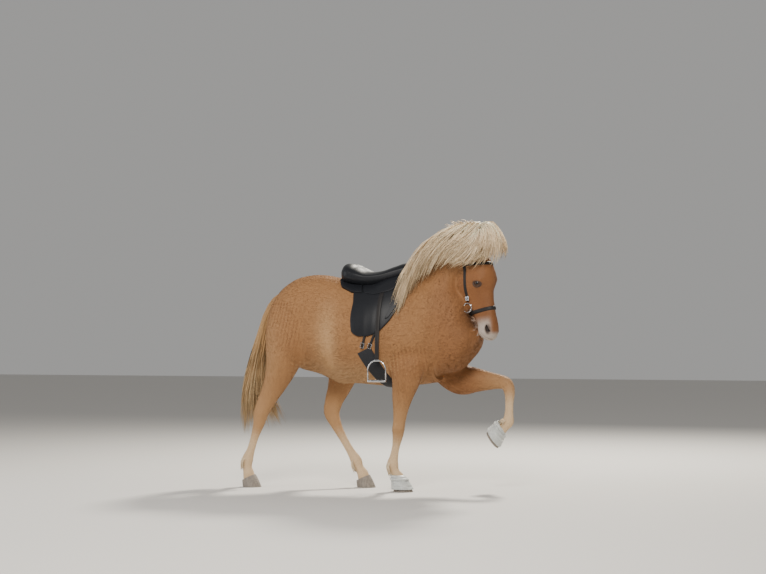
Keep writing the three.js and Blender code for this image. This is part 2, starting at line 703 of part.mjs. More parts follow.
// Girth: a broad padded belly band with two billets up each side.
const GIRTH_LINES = [
  [[[-204, 892], [-165, 805], [-98, 700], [-70, 620]], 100, SADDLE.girth],
  [[[-182, 1040], [-222, 880]], 16, SADDLE.billet],
  [[[-118, 1040], [-176, 880]], 16, SADDLE.billet],
];
const girth = join(
  GIRTH_LINES.map(([line, wide, thick]) =>
    bodyForm(thick).intersect(solid(prism(strip(line, wide), across))),
  ),
).subtract(join([bareBody, aroundSaddle, solid(prism(strip(FLAP_LINE.slice(4, 9), GAP * 2), across))]));

// Stirrups: a leather that hangs down over the flap, and the iron at its end.
const STIRRUP = { x: -112, top: 1262, bend: 1000, low: 838, wide: 26, thick: 6, out: 292 };
const IRON = { high: 142, wide: 128, bar: 9, tread: 15, depth: 34 };
const ironTop = STIRRUP.low - GAP;
function leather(side) {
  const line = [[STIRRUP.out - 26, STIRRUP.top], [STIRRUP.out, STIRRUP.bend], [STIRRUP.out, STIRRUP.low]];
  const strap = prism(strip(line, STIRRUP.thick), [-STIRRUP.wide / 2, STIRRUP.wide / 2]);
  const turned = new THREE.Matrix4().makeBasis(V(0, side, 0), V(side, 0, 0), V(0, 0, 1));
  const laid = solid(strap.applyMatrix4(turned.setPosition(STIRRUP.x, 0, 0)));
  return largest(laid.subtract(aroundSaddle));
}
function iron(side) {
  const arch = (wide, top, low) => {
    const round = [0, 1, 2, 3, 4, 5, 6].map((i) => {
      const angle = (i / 6) * Math.PI;
      return [STIRRUP.x + (Math.cos(angle) * wide) / 2, top - wide / 2 + (Math.sin(angle) * wide) / 2];
    });
    return [...round, [STIRRUP.x - wide / 2, low], [STIRRUP.x + wide / 2, low]];
  };
  const low = ironTop - IRON.high;
  const outer = arch(IRON.wide, ironTop, low);
  const inner = arch(IRON.wide - 2 * IRON.bar, ironTop - IRON.bar - 7, low + IRON.tread);
  const y = STIRRUP.out * side;
  const loop = solid(prism(outer, [y - IRON.bar / 2, y + IRON.bar / 2], inner));
  const treadLow = [STIRRUP.x - IRON.wide / 2 + 2, STIRRUP.x + IRON.wide / 2 - 2];
  const tread = box(treadLow, [y - IRON.depth / 2, y + IRON.depth / 2], [low, low + IRON.tread - 1]);
  return join([loop, solid(tread)]);
}

// Bridle, in the head's frame.
const STRAP = 3.4;
const HEADPIECE = [[-100, 80], [-56, -50], [-46, -160], [-64, -280], [-72, -314]];
const BROWBAND = [[-60, -84], [30, -74], [170, -82]];
const NOSEBAND = [[-160, -404], [-60, -384], [40, -368], [170, -354]];
const strapOf = (line, wide, thick) =>
  headForm(thick).intersect(inHead(prism(strip(line, wide), [-200, 200])));
const bridle = join([strapOf(HEADPIECE, 22, STRAP), strapOf(BROWBAND, 20, STRAP)]).subtract(bareAll);
const noseband = strapOf(NOSEBAND, 25, STRAP + 2).subtract(bareAll);
const BIT = { x: -72, y: 63, z: -350, radius: 29, bar: 3.6 };
function bitRing(side) {
  const ring = new THREE.TorusGeometry(BIT.radius, BIT.bar, 5, 14);
  ring.rotateX(Math.PI / 2).rotateZ(rad(-9 * side)).translate(BIT.x, BIT.y * side, BIT.z);
  return inHead(ring).subtract(join([headForm(GAP), bareBody]));
}

const group = new THREE.Group();
function place(name, whole, colour, roughness = 0.8, metalness = 0) {
  const mesh = largest(whole).getMesh();
  const geometry = new THREE.BufferGeometry();
  geometry.setAttribute("position", new THREE.BufferAttribute(new Float32Array(mesh.vertProperties), 3));
  geometry.setIndex(new THREE.BufferAttribute(new Uint32Array(mesh.triVerts), 1));
  geometry.computeVertexNormals();
  const made = new THREE.Mesh(
    geometry,
    new THREE.MeshStandardMaterial({ color: colour, roughness, metalness }),
  );
  made.name = name;
  group.add(made);
}
const COAT = 0xc2966a;
const CREAM = 0xe9dcc4;
const MANE_CREAM = 0xe8d8b8;
const BLACK = 0x23252a;
const STEEL = 0xc4c6c8;

// What lies around the neck's own flesh and around the head's.
const neckNormal = neckBase.normal.clone().normalize();
const neckSide = new THREE.BoxGeometry(1200, 1200, 1200);
neckSide.lookAt(neckNormal);
neckSide.translate(...neckBase.point.clone().addScaledVector(neckNormal, -600 - GAP).toArray());
const front = [[900, HEAD_LINE.at(-1)[1]], [900, 500], [HEAD_LINE[0][0], 500]];
const headSide = inHead(prism([...HEAD_LINE, ...front], [-500, 500]));
const ears = join([NEAR, FAR].map((side) => earForm(side, WORN)));
const bridleSpace = join([
  strapOf(HEADPIECE, 22 + 2 * GAP, STRAP + GAP),
  strapOf(BROWBAND, 20 + 2 * GAP, STRAP + GAP),
]);
const tackSpace = join([bridleSpace, aroundSaddle, ears]);
const offNeck = join([bareAll.subtract(solid(neckSide).subtract(headSide)), tackSpace]);
const offHead = join([bareAll.subtract(headSide), tackSpace]);

const headWhole = partAt(...headPoint(40, 0, -300).toArray());
const lids = join([NEAR, FAR].map((side) => eyeBall(side, EYE.lid)));
const sockets = join([NEAR, FAR].flatMap((side) => [eyeBall(side, EYE.radius + GAP), lidOpening(side)]));
const nostrils = join([NEAR, FAR].map(nostril));
const mouth = inHead(prism(strip(MOUTH, 3), [-90, 90])).subtract(headForm(-8));
const face = join([headWhole, lids]).subtract(join([sockets, nostrils, mouth]));

const MANE_LOCKS = { count: 19, wide: 66, thick: 24, rows: 5, stray: -20, layers: 1 };
const mane = locksOf(MANE, MANE_LOCKS);
const maneSpace = locksOf(MANE, { ...MANE_LOCKS, grow: 3 * GAP });
const forelock = locksOf(FORELOCK, { count: 8, wide: 58, thick: 18, rows: 5, layers: 1 });
const tailLocks = locksOf(TAIL, { count: 11, wide: 72, thick: 30, rows: 5, layers: 2, lift: 4 });
const tail = join([solid(loft(DOCK, 8, 9)), tailLocks]);
place("torso", partAt(...MARKS.torso), COAT);
place("neck", join([partAt(...MARKS.neck), mane.subtract(offNeck)]), COAT);
place("head", join([face, forelock.subtract(join([offHead, maneSpace]))]), COAT);
place("tail", tail.subtract(bareBody), 0xb98d58);
for (const [name, whole] of Object.entries({ saddle, girth, bridle, noseband }))
  place(name, whole, BLACK);
for (const [name, side] of Object.entries(SIDES)) {
  place("ear_" + name, earForm(side).subtract(bareAll), COAT);
  place("eye_" + name, eyeBall(side, EYE.radius), 0x201510);
  place("leather_" + name, leather(side), BLACK);
  place("iron_" + name, iron(side), STEEL);
  place("bit_" + name, bitRing(side), STEEL);
}
for (const name of Object.keys(LEGS)) {
  const section = sectionsOf(LEGS[name]);
  const middle = (a, b) => section((section.shareOf(a) + section.shareOf(b)) / 2).centre.toArray();
  place(name + "_upper", partAt(...MARKS[name]), COAT);
  place(name + "_cannon", partAt(...middle(8, 8)), COAT);
  place(name + "_pastern", join([partAt(...middle(10, 10)), feather(name)]), CREAM);
  place(name + "_hoof", hoofForm(FEET[name]), 0x807870);
  if (FEET[name].booted) {
    const [outer, inner] = bootForm(FEET[name]);
    const boot = outer.subtract(join([inner, hoofForm(FEET[name], GAP), legForm(name, GAP)]));
    place(name + "_boot", boot, 0xd8dad6);
  }
}

// The origin is on the floor, midway along and across the model.
const bounds = new THREE.Box3().setFromObject(group);
const middle = bounds.getCenter(V());
for (const part of group.children) part.geometry.translate(-middle.x, -middle.y, -bounds.min.z);
export default group;
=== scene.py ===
import math

import bmesh
import bpy
import numpy as np
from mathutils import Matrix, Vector
from mathutils.bvhtree import BVHTree


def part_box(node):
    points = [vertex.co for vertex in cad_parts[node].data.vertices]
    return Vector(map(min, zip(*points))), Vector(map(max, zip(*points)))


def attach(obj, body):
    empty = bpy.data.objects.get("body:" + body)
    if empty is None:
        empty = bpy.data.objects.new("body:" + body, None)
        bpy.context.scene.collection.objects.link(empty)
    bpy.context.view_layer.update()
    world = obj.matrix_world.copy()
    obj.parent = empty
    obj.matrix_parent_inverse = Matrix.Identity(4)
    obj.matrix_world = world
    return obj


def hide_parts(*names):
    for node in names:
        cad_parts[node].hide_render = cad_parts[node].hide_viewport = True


# An Icelandic horse in the tolt, with its saddle, bridle and heel boots, life size.
# The shape tables are in millimetres in the horse's own frame: +X forward, +Y its left, +Z up.
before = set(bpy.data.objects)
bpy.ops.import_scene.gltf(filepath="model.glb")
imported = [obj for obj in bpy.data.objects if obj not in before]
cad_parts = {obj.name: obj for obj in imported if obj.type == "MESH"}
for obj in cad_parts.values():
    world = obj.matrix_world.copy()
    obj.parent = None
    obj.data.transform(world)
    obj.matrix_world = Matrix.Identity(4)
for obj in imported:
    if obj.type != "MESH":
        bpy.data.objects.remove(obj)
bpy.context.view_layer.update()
MM = 0.001
STIRRUP_X = -112
iron_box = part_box("iron_near")
SHIFT = np.array([(iron_box[0][0] + iron_box[1][0]) / 2 - STIRRUP_X * MM, 0.0, 0.0])
rng = np.random.default_rng(7)
SIDES = {"near": -1, "far": 1}


# Skin: trunk, neck, head, ears and legs in one closed surface without seams.
# It lies inside the solids by the coat's depth; made by fusing lofts on a fine grid,
COAT_DEPTH = 5
VOXEL = 0.0062
# Stations of lofts are x, y, z, front, back, side, squareness; swells are x, y, z, their
# reach along each, and how far they raise the surface.
TORSO = [
    [-950, 0, 1130, 70, 90, 60, 2],
    [-905, 0, 1120, 175, 170, 150, 2.1],
    [-830, 0, 1105, 250, 250, 212, 2.2],
    [-740, 0, 1090, 298, 300, 246, 2.2],
    [-640, 0, 1070, 325, 318, 256, 2.2],
    [-540, 0, 1040, 335, 312, 258, 2.1],
    [-440, 0, 1010, 332, 312, 268, 2.1],
    [-330, 0, 985, 342, 305, 282, 2.1],
    [-210, 0, 975, 355, 308, 286, 2.1],
    [-100, 0, 975, 388, 315, 268, 2.1],
    [20, 0, 985, 400, 318, 238, 2.1],
    [140, 0, 1000, 385, 318, 214, 2.1],
    [250, 0, 1000, 335, 298, 200, 2.2],
    [350, 0, 965, 190, 228, 184, 2.2],
    [430, 0, 942, 112, 144, 146, 2.2],
    [462, 0, 928, 62, 80, 88, 2],
]
NECK = [
    [120, 0, 1120, 250, 290, 200, 2],
    [228, 0, 1232, 268, 230, 172, 2],
    [262, -4, 1318, 224, 138, 140, 2],
    [302, -12, 1386, 188, 112, 116, 2],
    [348, -24, 1424, 170, 106, 100, 2],
    [402, -36, 1444, 148, 106, 92, 2],
    [460, -47, 1444, 122, 108, 84, 2],
    [502, -56, 1430, 84, 88, 72, 2],
]
HEAD = [
    [-34, 0, 6, 42, 38, 40, 2],
    [-32, 0, -32, 92, 88, 70, 2.1],
    [-34, 0, -75, 124, 130, 82, 2.2],
    [-40, 0, -125, 146, 152, 89, 2.3],
    [-46, 0, -180, 152, 160, 88, 2.3],
    [-46, 0, -230, 150, 156, 79, 2.3],
    [-36, 0, -280, 134, 140, 66, 2.3],
    [-18, 0, -325, 113, 114, 57, 2.3],
    [2, 0, -370, 92, 90, 51, 2.3],
    [17, 0, -415, 80, 72, 48, 2.3],
    [28, 0, -458, 74, 66, 49, 2.4],
    [32, 0, -498, 71, 66, 51, 2.3],
    [29, 0, -532, 61, 60, 46, 2.2],
    [22, 0, -556, 38, 40, 32, 2],
]
LEGS = {
    "near_fore": [
        [75, -140, 960, 130, 130, 62, 2],
        [48, -158, 820, 122, 112, 74, 2],
        [34, -160, 705, 96, 92, 70, 2],
        [8, -150, 600, 68, 70, 54, 2],
        [-8, -140, 510, 50, 52, 42, 2],
        [-20, -132, 440, 42, 42, 37, 2.2],
        [-27, -127, 396, 42, 42, 39, 2.4],
        [-32, -123, 352, 35, 38, 34, 2.2],
        [-44, -117, 285, 25, 33, 22, 2],
        [-58, -111, 222, 26, 36, 23, 2],
        [-68, -107, 172, 35, 44, 32, 2],
        [-58, -104, 128, 30, 37, 28, 2],
        [-38, -101, 94, 38, 40, 36, 2],
        [-22, -100, 50, 44, 44, 40, 2],
    ],
    "far_fore": [
        [180, 120, 890, 150, 140, 60, 2],
        [225, 142, 780, 135, 125, 72, 2],
        [300, 150, 712, 108, 106, 72, 2],
        [400, 148, 706, 82, 84, 60, 2],
        [490, 142, 700, 62, 62, 46, 2],
        [560, 137, 694, 50, 48, 39, 2.2],
        [604, 134, 684, 46, 42, 39, 2.3],
        [628, 132, 640, 37, 40, 35, 2.2],
        [630, 131, 560, 27, 33, 23, 2],
        [628, 130, 490, 27, 36, 23, 2],
        [622, 130, 440, 36, 44, 32, 2],
        [600, 130, 410, 30, 36, 28, 2],
        [576, 130, 392, 38, 40, 36, 2],
        [540, 130, 366, 44, 44, 40, 2],
    ],
    "near_hind": [
        [-740, -118, 1180, 150, 170, 95, 2],
        [-760, -142, 1020, 140, 178, 112, 2],
        [-785, -155, 880, 122, 152, 108, 2],
        [-828, -152, 755, 92, 112, 82, 2],
        [-880, -145, 650, 70, 84, 58, 2],
        [-932, -138, 558, 52, 70, 43, 2.1],
        [-972, -132, 482, 45, 60, 38, 2.3],
        [-996, -128, 415, 40, 42, 33, 2.2],
        [-1026, -123, 330, 29, 33, 24, 2],
        [-1056, -118, 240, 28, 34, 24, 2],
        [-1080, -114, 172, 36, 44, 32, 2],
        [-1082, -112, 128, 30, 37, 28, 2],
        [-1078, -110, 94, 38, 40, 36, 2],
        [-1070, -110, 50, 44, 44, 39, 2],
    ],
    "far_hind": [
        [-640, 118, 1150, 160, 160, 95, 2],
        [-590, 145, 980, 150, 160, 112, 2],
        [-540, 158, 840, 130, 140, 106, 2],
        [-520, 152, 735, 104, 104, 80, 2],
        [-540, 144, 640, 76, 84, 58, 2],
        [-568, 136, 555, 56, 72, 43, 2.1],
        [-582, 130, 482, 50, 62, 38, 2.3],
        [-560, 127, 415, 40, 42, 33, 2.2],
        [-508, 124, 325, 29, 33, 24, 2],
        [-450, 122, 235, 28, 34, 24, 2],
        [-404, 120, 168, 36, 44, 32, 2],
        [-386, 119, 126, 30, 37, 28, 2],
        [-366, 118, 94, 38, 40, 36, 2],
        [-352, 118, 50, 44, 44, 39, 2],
    ],
}
BODY_SWELLS = [
    [170, 190, 1130, 90, 120, 150, 14],  # shoulder
    [60, 200, 960, 90, 110, 110, 12],  # arm
    [235, 190, 1010, 46, 110, 190, -9],  # hollow ahead of the shoulder
    [395, 95, 900, 90, 70, 90, 22],  # breast
    [430, 0, 930, 70, 34, 130, -14],  # furrow of the breast
    [-700, 150, 1260, 200, 110, 120, 10],  # croup
    [-500, 215, 1180, 60, 70, 60, 12],  # point of the hip
    [-620, 240, 1080, 70, 90, 130, -8],  # hollow behind the hip
    [-860, 110, 1080, 80, 80, 150, 16],  # buttock
    [-905, 0, 1050, 90, 34, 190, -26],  # cleft under the tail
    [-430, 250, 900, 60, 90, 110, -8],  # flank
]
HEAD_SWELLS = [
    [-110, 70, -215, 80, 60, 80, 12],  # cheek
    [52, 86, -178, 46, 46, 38, 21],  # bone over the eye
    [30, 72, -262, 14, 40, 70, 7],  # bone below the eye
    [70, 0, -300, 60, 26, 120, 5],  # bridge of the nose
    [44, 60, -335, 34, 40, 60, -7],  # hollow beside the nose
    [66, 34, -490, 26, 30, 34, 9],  # nostril
    [-24, 0, -520, 30, 40, 26, 8],  # chin
    [48, 0, -545, 34, 50, 22, 6],  # upper lip
]


def unit(a):
    return a / np.maximum(np.linalg.norm(a, axis=-1, keepdims=True), 1e-12)


def bell(x, middle, width):
    return np.exp(-(((x - middle) / width) ** 2))


def smooth(low, high, x):
    t = np.clip((x - low) / (high - low), 0, 1)
    return t * t * (3 - 2 * t)


def stations_at(stations, t):
    # The stations' numbers at shares t of the loft's length, as a smooth curve through them.
    rows = np.array(stations, float)
    run = np.concatenate([[0], np.cumsum(np.linalg.norm(np.diff(rows[:, :3], axis=0), axis=1))])
    t = np.clip(np.asarray(t, float), 0, 1) * run[-1]
    i1 = np.clip(np.searchsorted(run, t, side="right"), 1, len(run) - 1)
    i0 = i1 - 1
    before = np.where(i0 > 0, i0 - 1, i1)
    after = np.where(i1 < len(run) - 1, i1 + 1, i0)
    half = (run[i1] - run[i0]) / 2
    wp = half / (run[i0] - run[before])
    wn = half / (run[after] - run[i1])
    p = (t - run[i0]) / (run[i1] - run[i0])
    p2, p3 = p * p, p * p * p
    weights = (
        -wp * p3 + 2 * wp * p2 - wp * p,
        (1 + wp) * p3 + (-1.5 - 2 * wp) * p2 + (-0.5 + wp) * p + 1,
        (-1 - wn) * p3 + (1.5 + wn) * p2 + 0.5 * p,
        wn * p3 - wn * p2,
    )
    return sum(w[:, None] * rows[k] for w, k in zip(weights, (before, i0, i1, after)))


def share_of(stations, station):
    rows = np.array(stations, float)
    run = np.concatenate([[0], np.cumsum(np.linalg.norm(np.diff(rows[:, :3], axis=0), axis=1))])
    return np.interp(station, range(len(run)), run / run[-1])


def sections(stations, t):
    t = np.asarray(t, float)
    here = stations_at(stations, t)
    along = unit(stations_at(stations, t + 0.01)[:, :3] - stations_at(stations, t - 0.01)[:, :3])
    forward = unit(np.cross(along, (0, 1, 0)))
    left = unit(np.cross(forward, along))
    return here, along, forward, left


def swell_of(points, swells):
    total = np.zeros(points.shape[:-1])
    for x, y, z, rx, ry, rz, rise in swells:
        far = ((points[..., 0] - x) / rx) ** 2 + ((np.abs(points[..., 1]) - y) / ry) ** 2
        total += rise * np.exp(-far - ((points[..., 2] - z) / rz) ** 2)
    return total


def loft_points(stations, around, rows, grow=0.0, swells=()):
    # Rows of points around a loft, grown outwards and swollen.
    here, along, forward, left = sections(stations, np.linspace(0, 1, rows))
    angle = np.arange(around) / around * 2 * math.pi
    c, s = np.cos(angle), np.sin(angle)
    power = 2 / here[:, 6:7]
    reach = np.where(c[None] > 0, here[:, 3:4], here[:, 4:5])
    a = np.sign(c) * np.abs(c) ** power * reach
    b = np.sign(s) * np.abs(s) ** power * here[:, 5:6]
    out = a[..., None] * forward[:, None] + b[..., None] * left[:, None]
    points = here[:, None, :3] + out
    return points + unit(out) * (grow + swell_of(points, swells))[..., None], here, along


def rings(points, start=None, end=None, closed=False):
    # Vertices and faces of a tube through rows of points, closed by end points or on itself.
    rows, around = points.shape[:2]
    verts = points.reshape(-1, 3)
    last = rows if closed else rows - 1
    i, j = np.meshgrid(np.arange(last), np.arange(around), indexing="ij")
    a = i * around + j
    b = i * around + (j + 1) % around
    c = (i + 1) % rows * around + (j + 1) % around
    d = (i + 1) % rows * around + j
    faces = np.stack([a, b, c, d], -1).reshape(-1, 4).tolist()
    if not closed:
        start = points[0].mean(0) if start is None else start
        end = points[-1].mean(0) if end is None else end
        n = len(verts)
        verts = np.concatenate([verts, [start, end]])
        for k in range(around):
            faces.append([n, (k + 1) % around, k])
            faces.append([n + 1, (rows - 1) * around + k, (rows - 1) * around + (k + 1) % around])
    return verts, faces


def loft(stations, around, rows, grow=0.0, swells=()):
    points, here, along = loft_points(stations, around, rows, grow, swells)
    start = here[0, :3] - along[0] * (0.3 * here[0, 5] + grow)
    end = here[-1, :3] + along[-1] * (0.3 * here[-1, 5] + grow)
    return rings(points, start, end)


def merged(solids):
    # One list of vertices and faces from several.
    verts, faces, n = [], [], 0
    for v, f in solids:
        verts.append(v)
        faces.extend([[k + n for k in face] for face in f])
        n += len(v)
    return np.concatenate(verts), faces


def piece(name, solid, material, nodes=()):
    # An object in the model's frame from vertices in millimetres and faces.
    verts, faces = solid
    mesh = bpy.data.meshes.new(name)
    mesh.from_pydata((np.asarray(verts) * MM + SHIFT).tolist(), [], faces)
    work = bmesh.new()
    work.from_mesh(mesh)
    bmesh.ops.remove_doubles(work, verts=work.verts, dist=1e-6)
    bmesh.ops.recalc_face_normals(work, faces=work.faces)
    for face in work.faces:
        face.smooth = True
    work.to_mesh(mesh)
    work.free()
    made = bpy.data.objects.new(name, mesh)
    bpy.context.scene.collection.objects.link(made)
    mesh.materials.append(material)
    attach(made, "root")
    if nodes:
        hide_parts(*nodes)
    return made


# The head's own frame: its origin is the poll, and it is turned and tilted there.
POLL = np.array([480, -48, 1516.0])
HEAD_TURN = math.radians(-21)
HEAD_TILT = math.radians(-5)
turn_z = np.array(
    [
        [math.cos(HEAD_TURN), -math.sin(HEAD_TURN), 0],
        [math.sin(HEAD_TURN), math.cos(HEAD_TURN), 0],
        [0, 0, 1],
    ]
)
turn_y = np.array(
    [
        [math.cos(HEAD_TILT), 0, math.sin(HEAD_TILT)],
        [0, 1, 0],
        [-math.sin(HEAD_TILT), 0, math.cos(HEAD_TILT)],
    ]
)
HEAD_AXES = turn_z @ turn_y


def from_head(points):
    return np.asarray(points) @ HEAD_AXES.T + POLL


def to_head(points):
    return (np.asarray(points) - POLL) @ HEAD_AXES


# Colours of coat and hair are painted on the meshes by place, as the attribute Tone; the
# shaders add the fine grain, the sheen and the roughness.
def node_material(name, roughness=0.6, metallic=0.0, colour=None):
    made = bpy.data.materials.new(name)
    made.use_nodes = True
    shader = made.node_tree.nodes["Principled BSDF"]
    shader.inputs["Roughness"].default_value = roughness
    shader.inputs["Metallic"].default_value = metallic
    if colour is not None:
        shader.inputs["Base Color"].default_value = (*colour, 1)
    return made, made.node_tree, shader


def grain_group():
    # Noise grain: it makes a colour lighter and darker, and bumps the surface.
    group = bpy.data.node_groups.new("grain", "ShaderNodeTree")
    for title, kind in (
        ("Colour", "NodeSocketColor"),
        ("Stretch", "NodeSocketVector"),
        ("Fineness", "NodeSocketFloat"),
        ("Darkest", "NodeSocketFloat"),
        ("Lightest", "NodeSocketFloat"),
        ("Depth", "NodeSocketFloat"),
    ):
        group.interface.new_socket(name=title, in_out="INPUT", socket_type=kind)
    group.interface.new_socket(name="Colour", in_out="OUTPUT", socket_type="NodeSocketColor")
    group.interface.new_socket(name="Normal", in_out="OUTPUT", socket_type="NodeSocketVector")
    given = group.nodes.new("NodeGroupInput")
    result = group.nodes.new("NodeGroupOutput")
    place = group.nodes.new("ShaderNodeTexCoord")
    grid = group.nodes.new("ShaderNodeMapping")
    noise = group.nodes.new("ShaderNodeTexNoise")
    noise.inputs["Detail"].default_value = 4
    ramp = group.nodes.new("ShaderNodeMapRange")
    ramp.inputs["From Min"].default_value = 0.3
    ramp.inputs["From Max"].default_value = 0.7
    times = group.nodes.new("ShaderNodeVectorMath")
    times.operation = "SCALE"
    bump = group.nodes.new("ShaderNodeBump")
    bump.inputs["Strength"].default_value = 0.6
    link = group.links.new
    link(place.outputs["Object"], grid.inputs["Vector"])
    link(given.outputs["Stretch"], grid.inputs["Scale"])
    link(grid.outputs["Vector"], noise.inputs["Vector"])
    link(given.outputs["Fineness"], noise.inputs["Scale"])
    link(noise.outputs["Fac"], ramp.inputs["Value"])
    link(given.outputs["Darkest"], ramp.inputs["To Min"])
    link(given.outputs["Lightest"], ramp.inputs["To Max"])
    link(given.outputs["Colour"], times.inputs[0])
    link(ramp.outputs["Result"], times.inputs["Scale"])
    link(times.outputs["Vector"], result.inputs["Colour"])
    link(noise.outputs["Fac"], bump.inputs["Height"])
    link(given.outputs["Depth"], bump.inputs["Distance"])
    link(bump.outputs["Normal"], result.inputs["Normal"])
    return group


GRAIN = grain_group()


def grained(name, roughness, fineness, stretch, depth, contrast, sheen=0.0, colour=None):
    # A painted or a plain colour with grain, stretched along Z.
    made, tree, shader = node_material(name, roughness)
    shader.inputs["Sheen Weight"].default_value = sheen
    shader.inputs["Sheen Roughness"].default_value = 0.5
    shader.inputs["Specular IOR Level"].default_value = 0.2
    grain = tree.nodes.new("ShaderNodeGroup")
    grain.node_tree = GRAIN
    grain.inputs["Stretch"].default_value = (1, 1, stretch)
    grain.inputs["Fineness"].default_value = fineness
    grain.inputs["Darkest"].default_value = 1 - contrast
    grain.inputs["Lightest"].default_value = 1 + contrast
    grain.inputs["Depth"].default_value = depth
    if colour is None:
        painted = tree.nodes.new("ShaderNodeAttribute")
        painted.attribute_name = "Tone"
        tree.links.new(painted.outputs["Color"], grain.inputs["Colour"])
    else:
        grain.inputs["Colour"].default_value = (*colour, 1)
    tree.links.new(grain.outputs["Colour"], shader.inputs["Base Color"])
    tree.links.new(grain.outputs["Normal"], shader.inputs["Normal"])
    return made


coat_material = grained("coat", 0.64, 320, 0.3, 0.0006, 0.12, sheen=0.03)
# easing the joins, and then working eyelids, nostrils, lips and folds into it.
PARTS = {"torso": TORSO, "neck": NECK, "head": HEAD, **LEGS}
EYE = np.array([28, 69, -205.0])
EYE_RADIUS = 22
LID_RADIUS = 25.5
EXTRA_HEAD = [
    [-60, 84, -250, 40, 30, 60, 6],
    [40, 62, -150, 34, 30, 22, -7],
    [44, 84, -186, 26, 22, 10, 5],
    [20, 86, -236, 30, 20, 12, 4],
    [-6, 62, -330, 24, 24, 60, -4],
    [58, 26, -440, 30, 18, 50, 3],
    [-70, 34, -430, 26, 30, 60, -5],
    [-10, 0, -556, 18, 40, 16, -6],
]
EXTRA_BODY = [
    [-470, 0, 690, 90, 46, 50, 26],
    [-500, 215, 860, 30, 60, 150, 9],
    [-455, 235, 860, 26, 60, 140, -9],
    [300, 120, 1200, 60, 60, 150, 6],
    [110, 185, 1010, 40, 60, 160, 5],
    [345, 0, 1130, 50, 40, 160, 8],
    [215, 185, 1170, 26, 70, 150, 7],
    [40, 200, 925, 100, 70, 60, 11],
    [120, 205, 850, 90, 70, 24, -8],
    [-420, 120, 1310, 120, 70, 60, 5],
    [-520, 205, 870, 70, 70, 90, 11],
    [-655, 225, 960, 34, 80, 190, -9],
    [-790, 190, 980, 30, 80, 200, -8],
    [-720, 210, 960, 50, 70, 170, 6],
    [350, 90, 1325, 19, 70, 100, -14],
    [318, 92, 1300, 14, 70, 120, -4],
    [270, 80, 1330, 60, 50, 60, 6],
] + [[x, 280, 940, 15, 90, 150, 2.4] for x in range(-380, 0, 58)]
LEG_SWELLS = [
    [20, 175, 720, 60, 60, 60, 7],
    [60, 160, 640, 22, 60, 70, 5],
    [-830, 165, 770, 60, 60, 80, 7],
    [-905, 150, 640, 16, 60, 90, -6],
    [-520, 165, 760, 60, 60, 80, 6],
    [-600, 150, 560, 14, 60, 80, -6],
    [330, 150, 690, 90, 60, 40, 6],
]


def ear(side):
    # A cupped leaf: an outer arc and a smaller inner arc, closed at their edges.
    lengthwise = unit(np.array([-0.72, 0.34 * side, 0.6]))
    facing = np.array([0.35, 0.86 * side, 0.15])
    facing = unit(facing - lengthwise * facing.dot(lengthwise))
    wide = np.cross(lengthwise, facing)
    base = np.array([-12, 44 * side, -8.0])
    share = np.linspace(0.0, 1, 34)[:, None]
    width = np.sin(np.pi * np.minimum(1, 0.18 + share * 0.82) ** 0.9) ** 0.75 * 25 + 1.5
    half = np.linspace(-1, 1, 15) * math.radians(118)
    outer = np.stack([np.sin(half) * width, -np.cos(half) * width * 0.72], -1)
    wall = np.clip(width * 0.4, 1.0, 5.5)
    inner = np.stack([np.sin(half) * (width - wall), -np.cos(half) * (width * 0.72 - wall) + 1], -1)
    loop = np.concatenate([outer, inner[:, ::-1]], axis=1)
    middle = base + share[..., None] * 154 * lengthwise
    bend = (share[..., None] ** 2) * 8 * wide * -side
    points = middle + bend + loop[..., :1] * wide + loop[..., 1:] * facing
    return rings(from_head(points))


flesh = [
    loft(TORSO, 72, 96, -COAT_DEPTH, BODY_SWELLS + EXTRA_BODY),
    loft(NECK, 56, 48, -COAT_DEPTH, BODY_SWELLS + EXTRA_BODY),
    ear(-1),
    ear(1),
]
head_verts, head_faces = loft(HEAD, 64, 96, -3, HEAD_SWELLS + EXTRA_HEAD)
flesh.append((from_head(head_verts), head_faces))
for name, stations in LEGS.items():
    leg_verts, leg_faces = loft(stations, 40, 110, -3, EXTRA_BODY + LEG_SWELLS)
    # Tendons and the bones beside them groove the cannons; points of hock and knee stand out.
    here, along, forward, left = sections(stations, np.linspace(0, 1, 110))
    grid = leg_verts[:-2].reshape(110, 40, 3)
    station = np.interp(np.linspace(0, 1, 110), share_of(stations, np.arange(14)), np.arange(14))
    angle = np.arange(40) / 40 * 2 * math.pi
    cannon = bell(station, 8.3, 1.1)[:, None]
    groove = bell(np.abs(angle - math.pi), 0.95, 0.28)[None]
    knob = bell(station, 6, 0.45)[:, None]
    sides = bell(np.abs(np.sin(angle)), 1, 0.3)[None]
    fetlock = bell(station, 10, 0.4)[:, None]
    back = bell(np.abs(angle - math.pi), 0.4, 0.3)[None]
    front = np.exp(-((np.minimum(angle, 2 * math.pi - angle) / 0.5) ** 2))[None]
    push = -5 * cannon * groove + 4.5 * knob * sides - 2.5 * knob * front + 3.5 * fetlock * back
    out = unit(grid - here[:, None, :3])
    leg_verts[:-2] = (grid + out * push[..., None]).reshape(-1, 3)
    flesh.append((leg_verts, leg_faces))

skin = piece("skin", merged(flesh), coat_material)
fuse = skin.modifiers.new("fuse", "REMESH")
fuse.mode = "VOXEL"
fuse.voxel_size = VOXEL
bpy.context.view_layer.update()
fused = bpy.data.meshes.new_from_object(skin.evaluated_get(bpy.context.evaluated_depsgraph_get()))
skin.modifiers.clear()
skin.data = fused


def points_of(mesh):
    points = np.empty(len(mesh.vertices) * 3)
    mesh.vertices.foreach_get("co", points)
    return (points.reshape(-1, 3) - SHIFT) / MM


def normals_of(mesh):
    normals = np.empty(len(mesh.vertices) * 3)
    mesh.vertices.foreach_get("normal", normals)
    return normals.reshape(-1, 3)


def move(mesh, points):
    mesh.vertices.foreach_set("co", (points * MM + SHIFT).ravel())
    mesh.update()


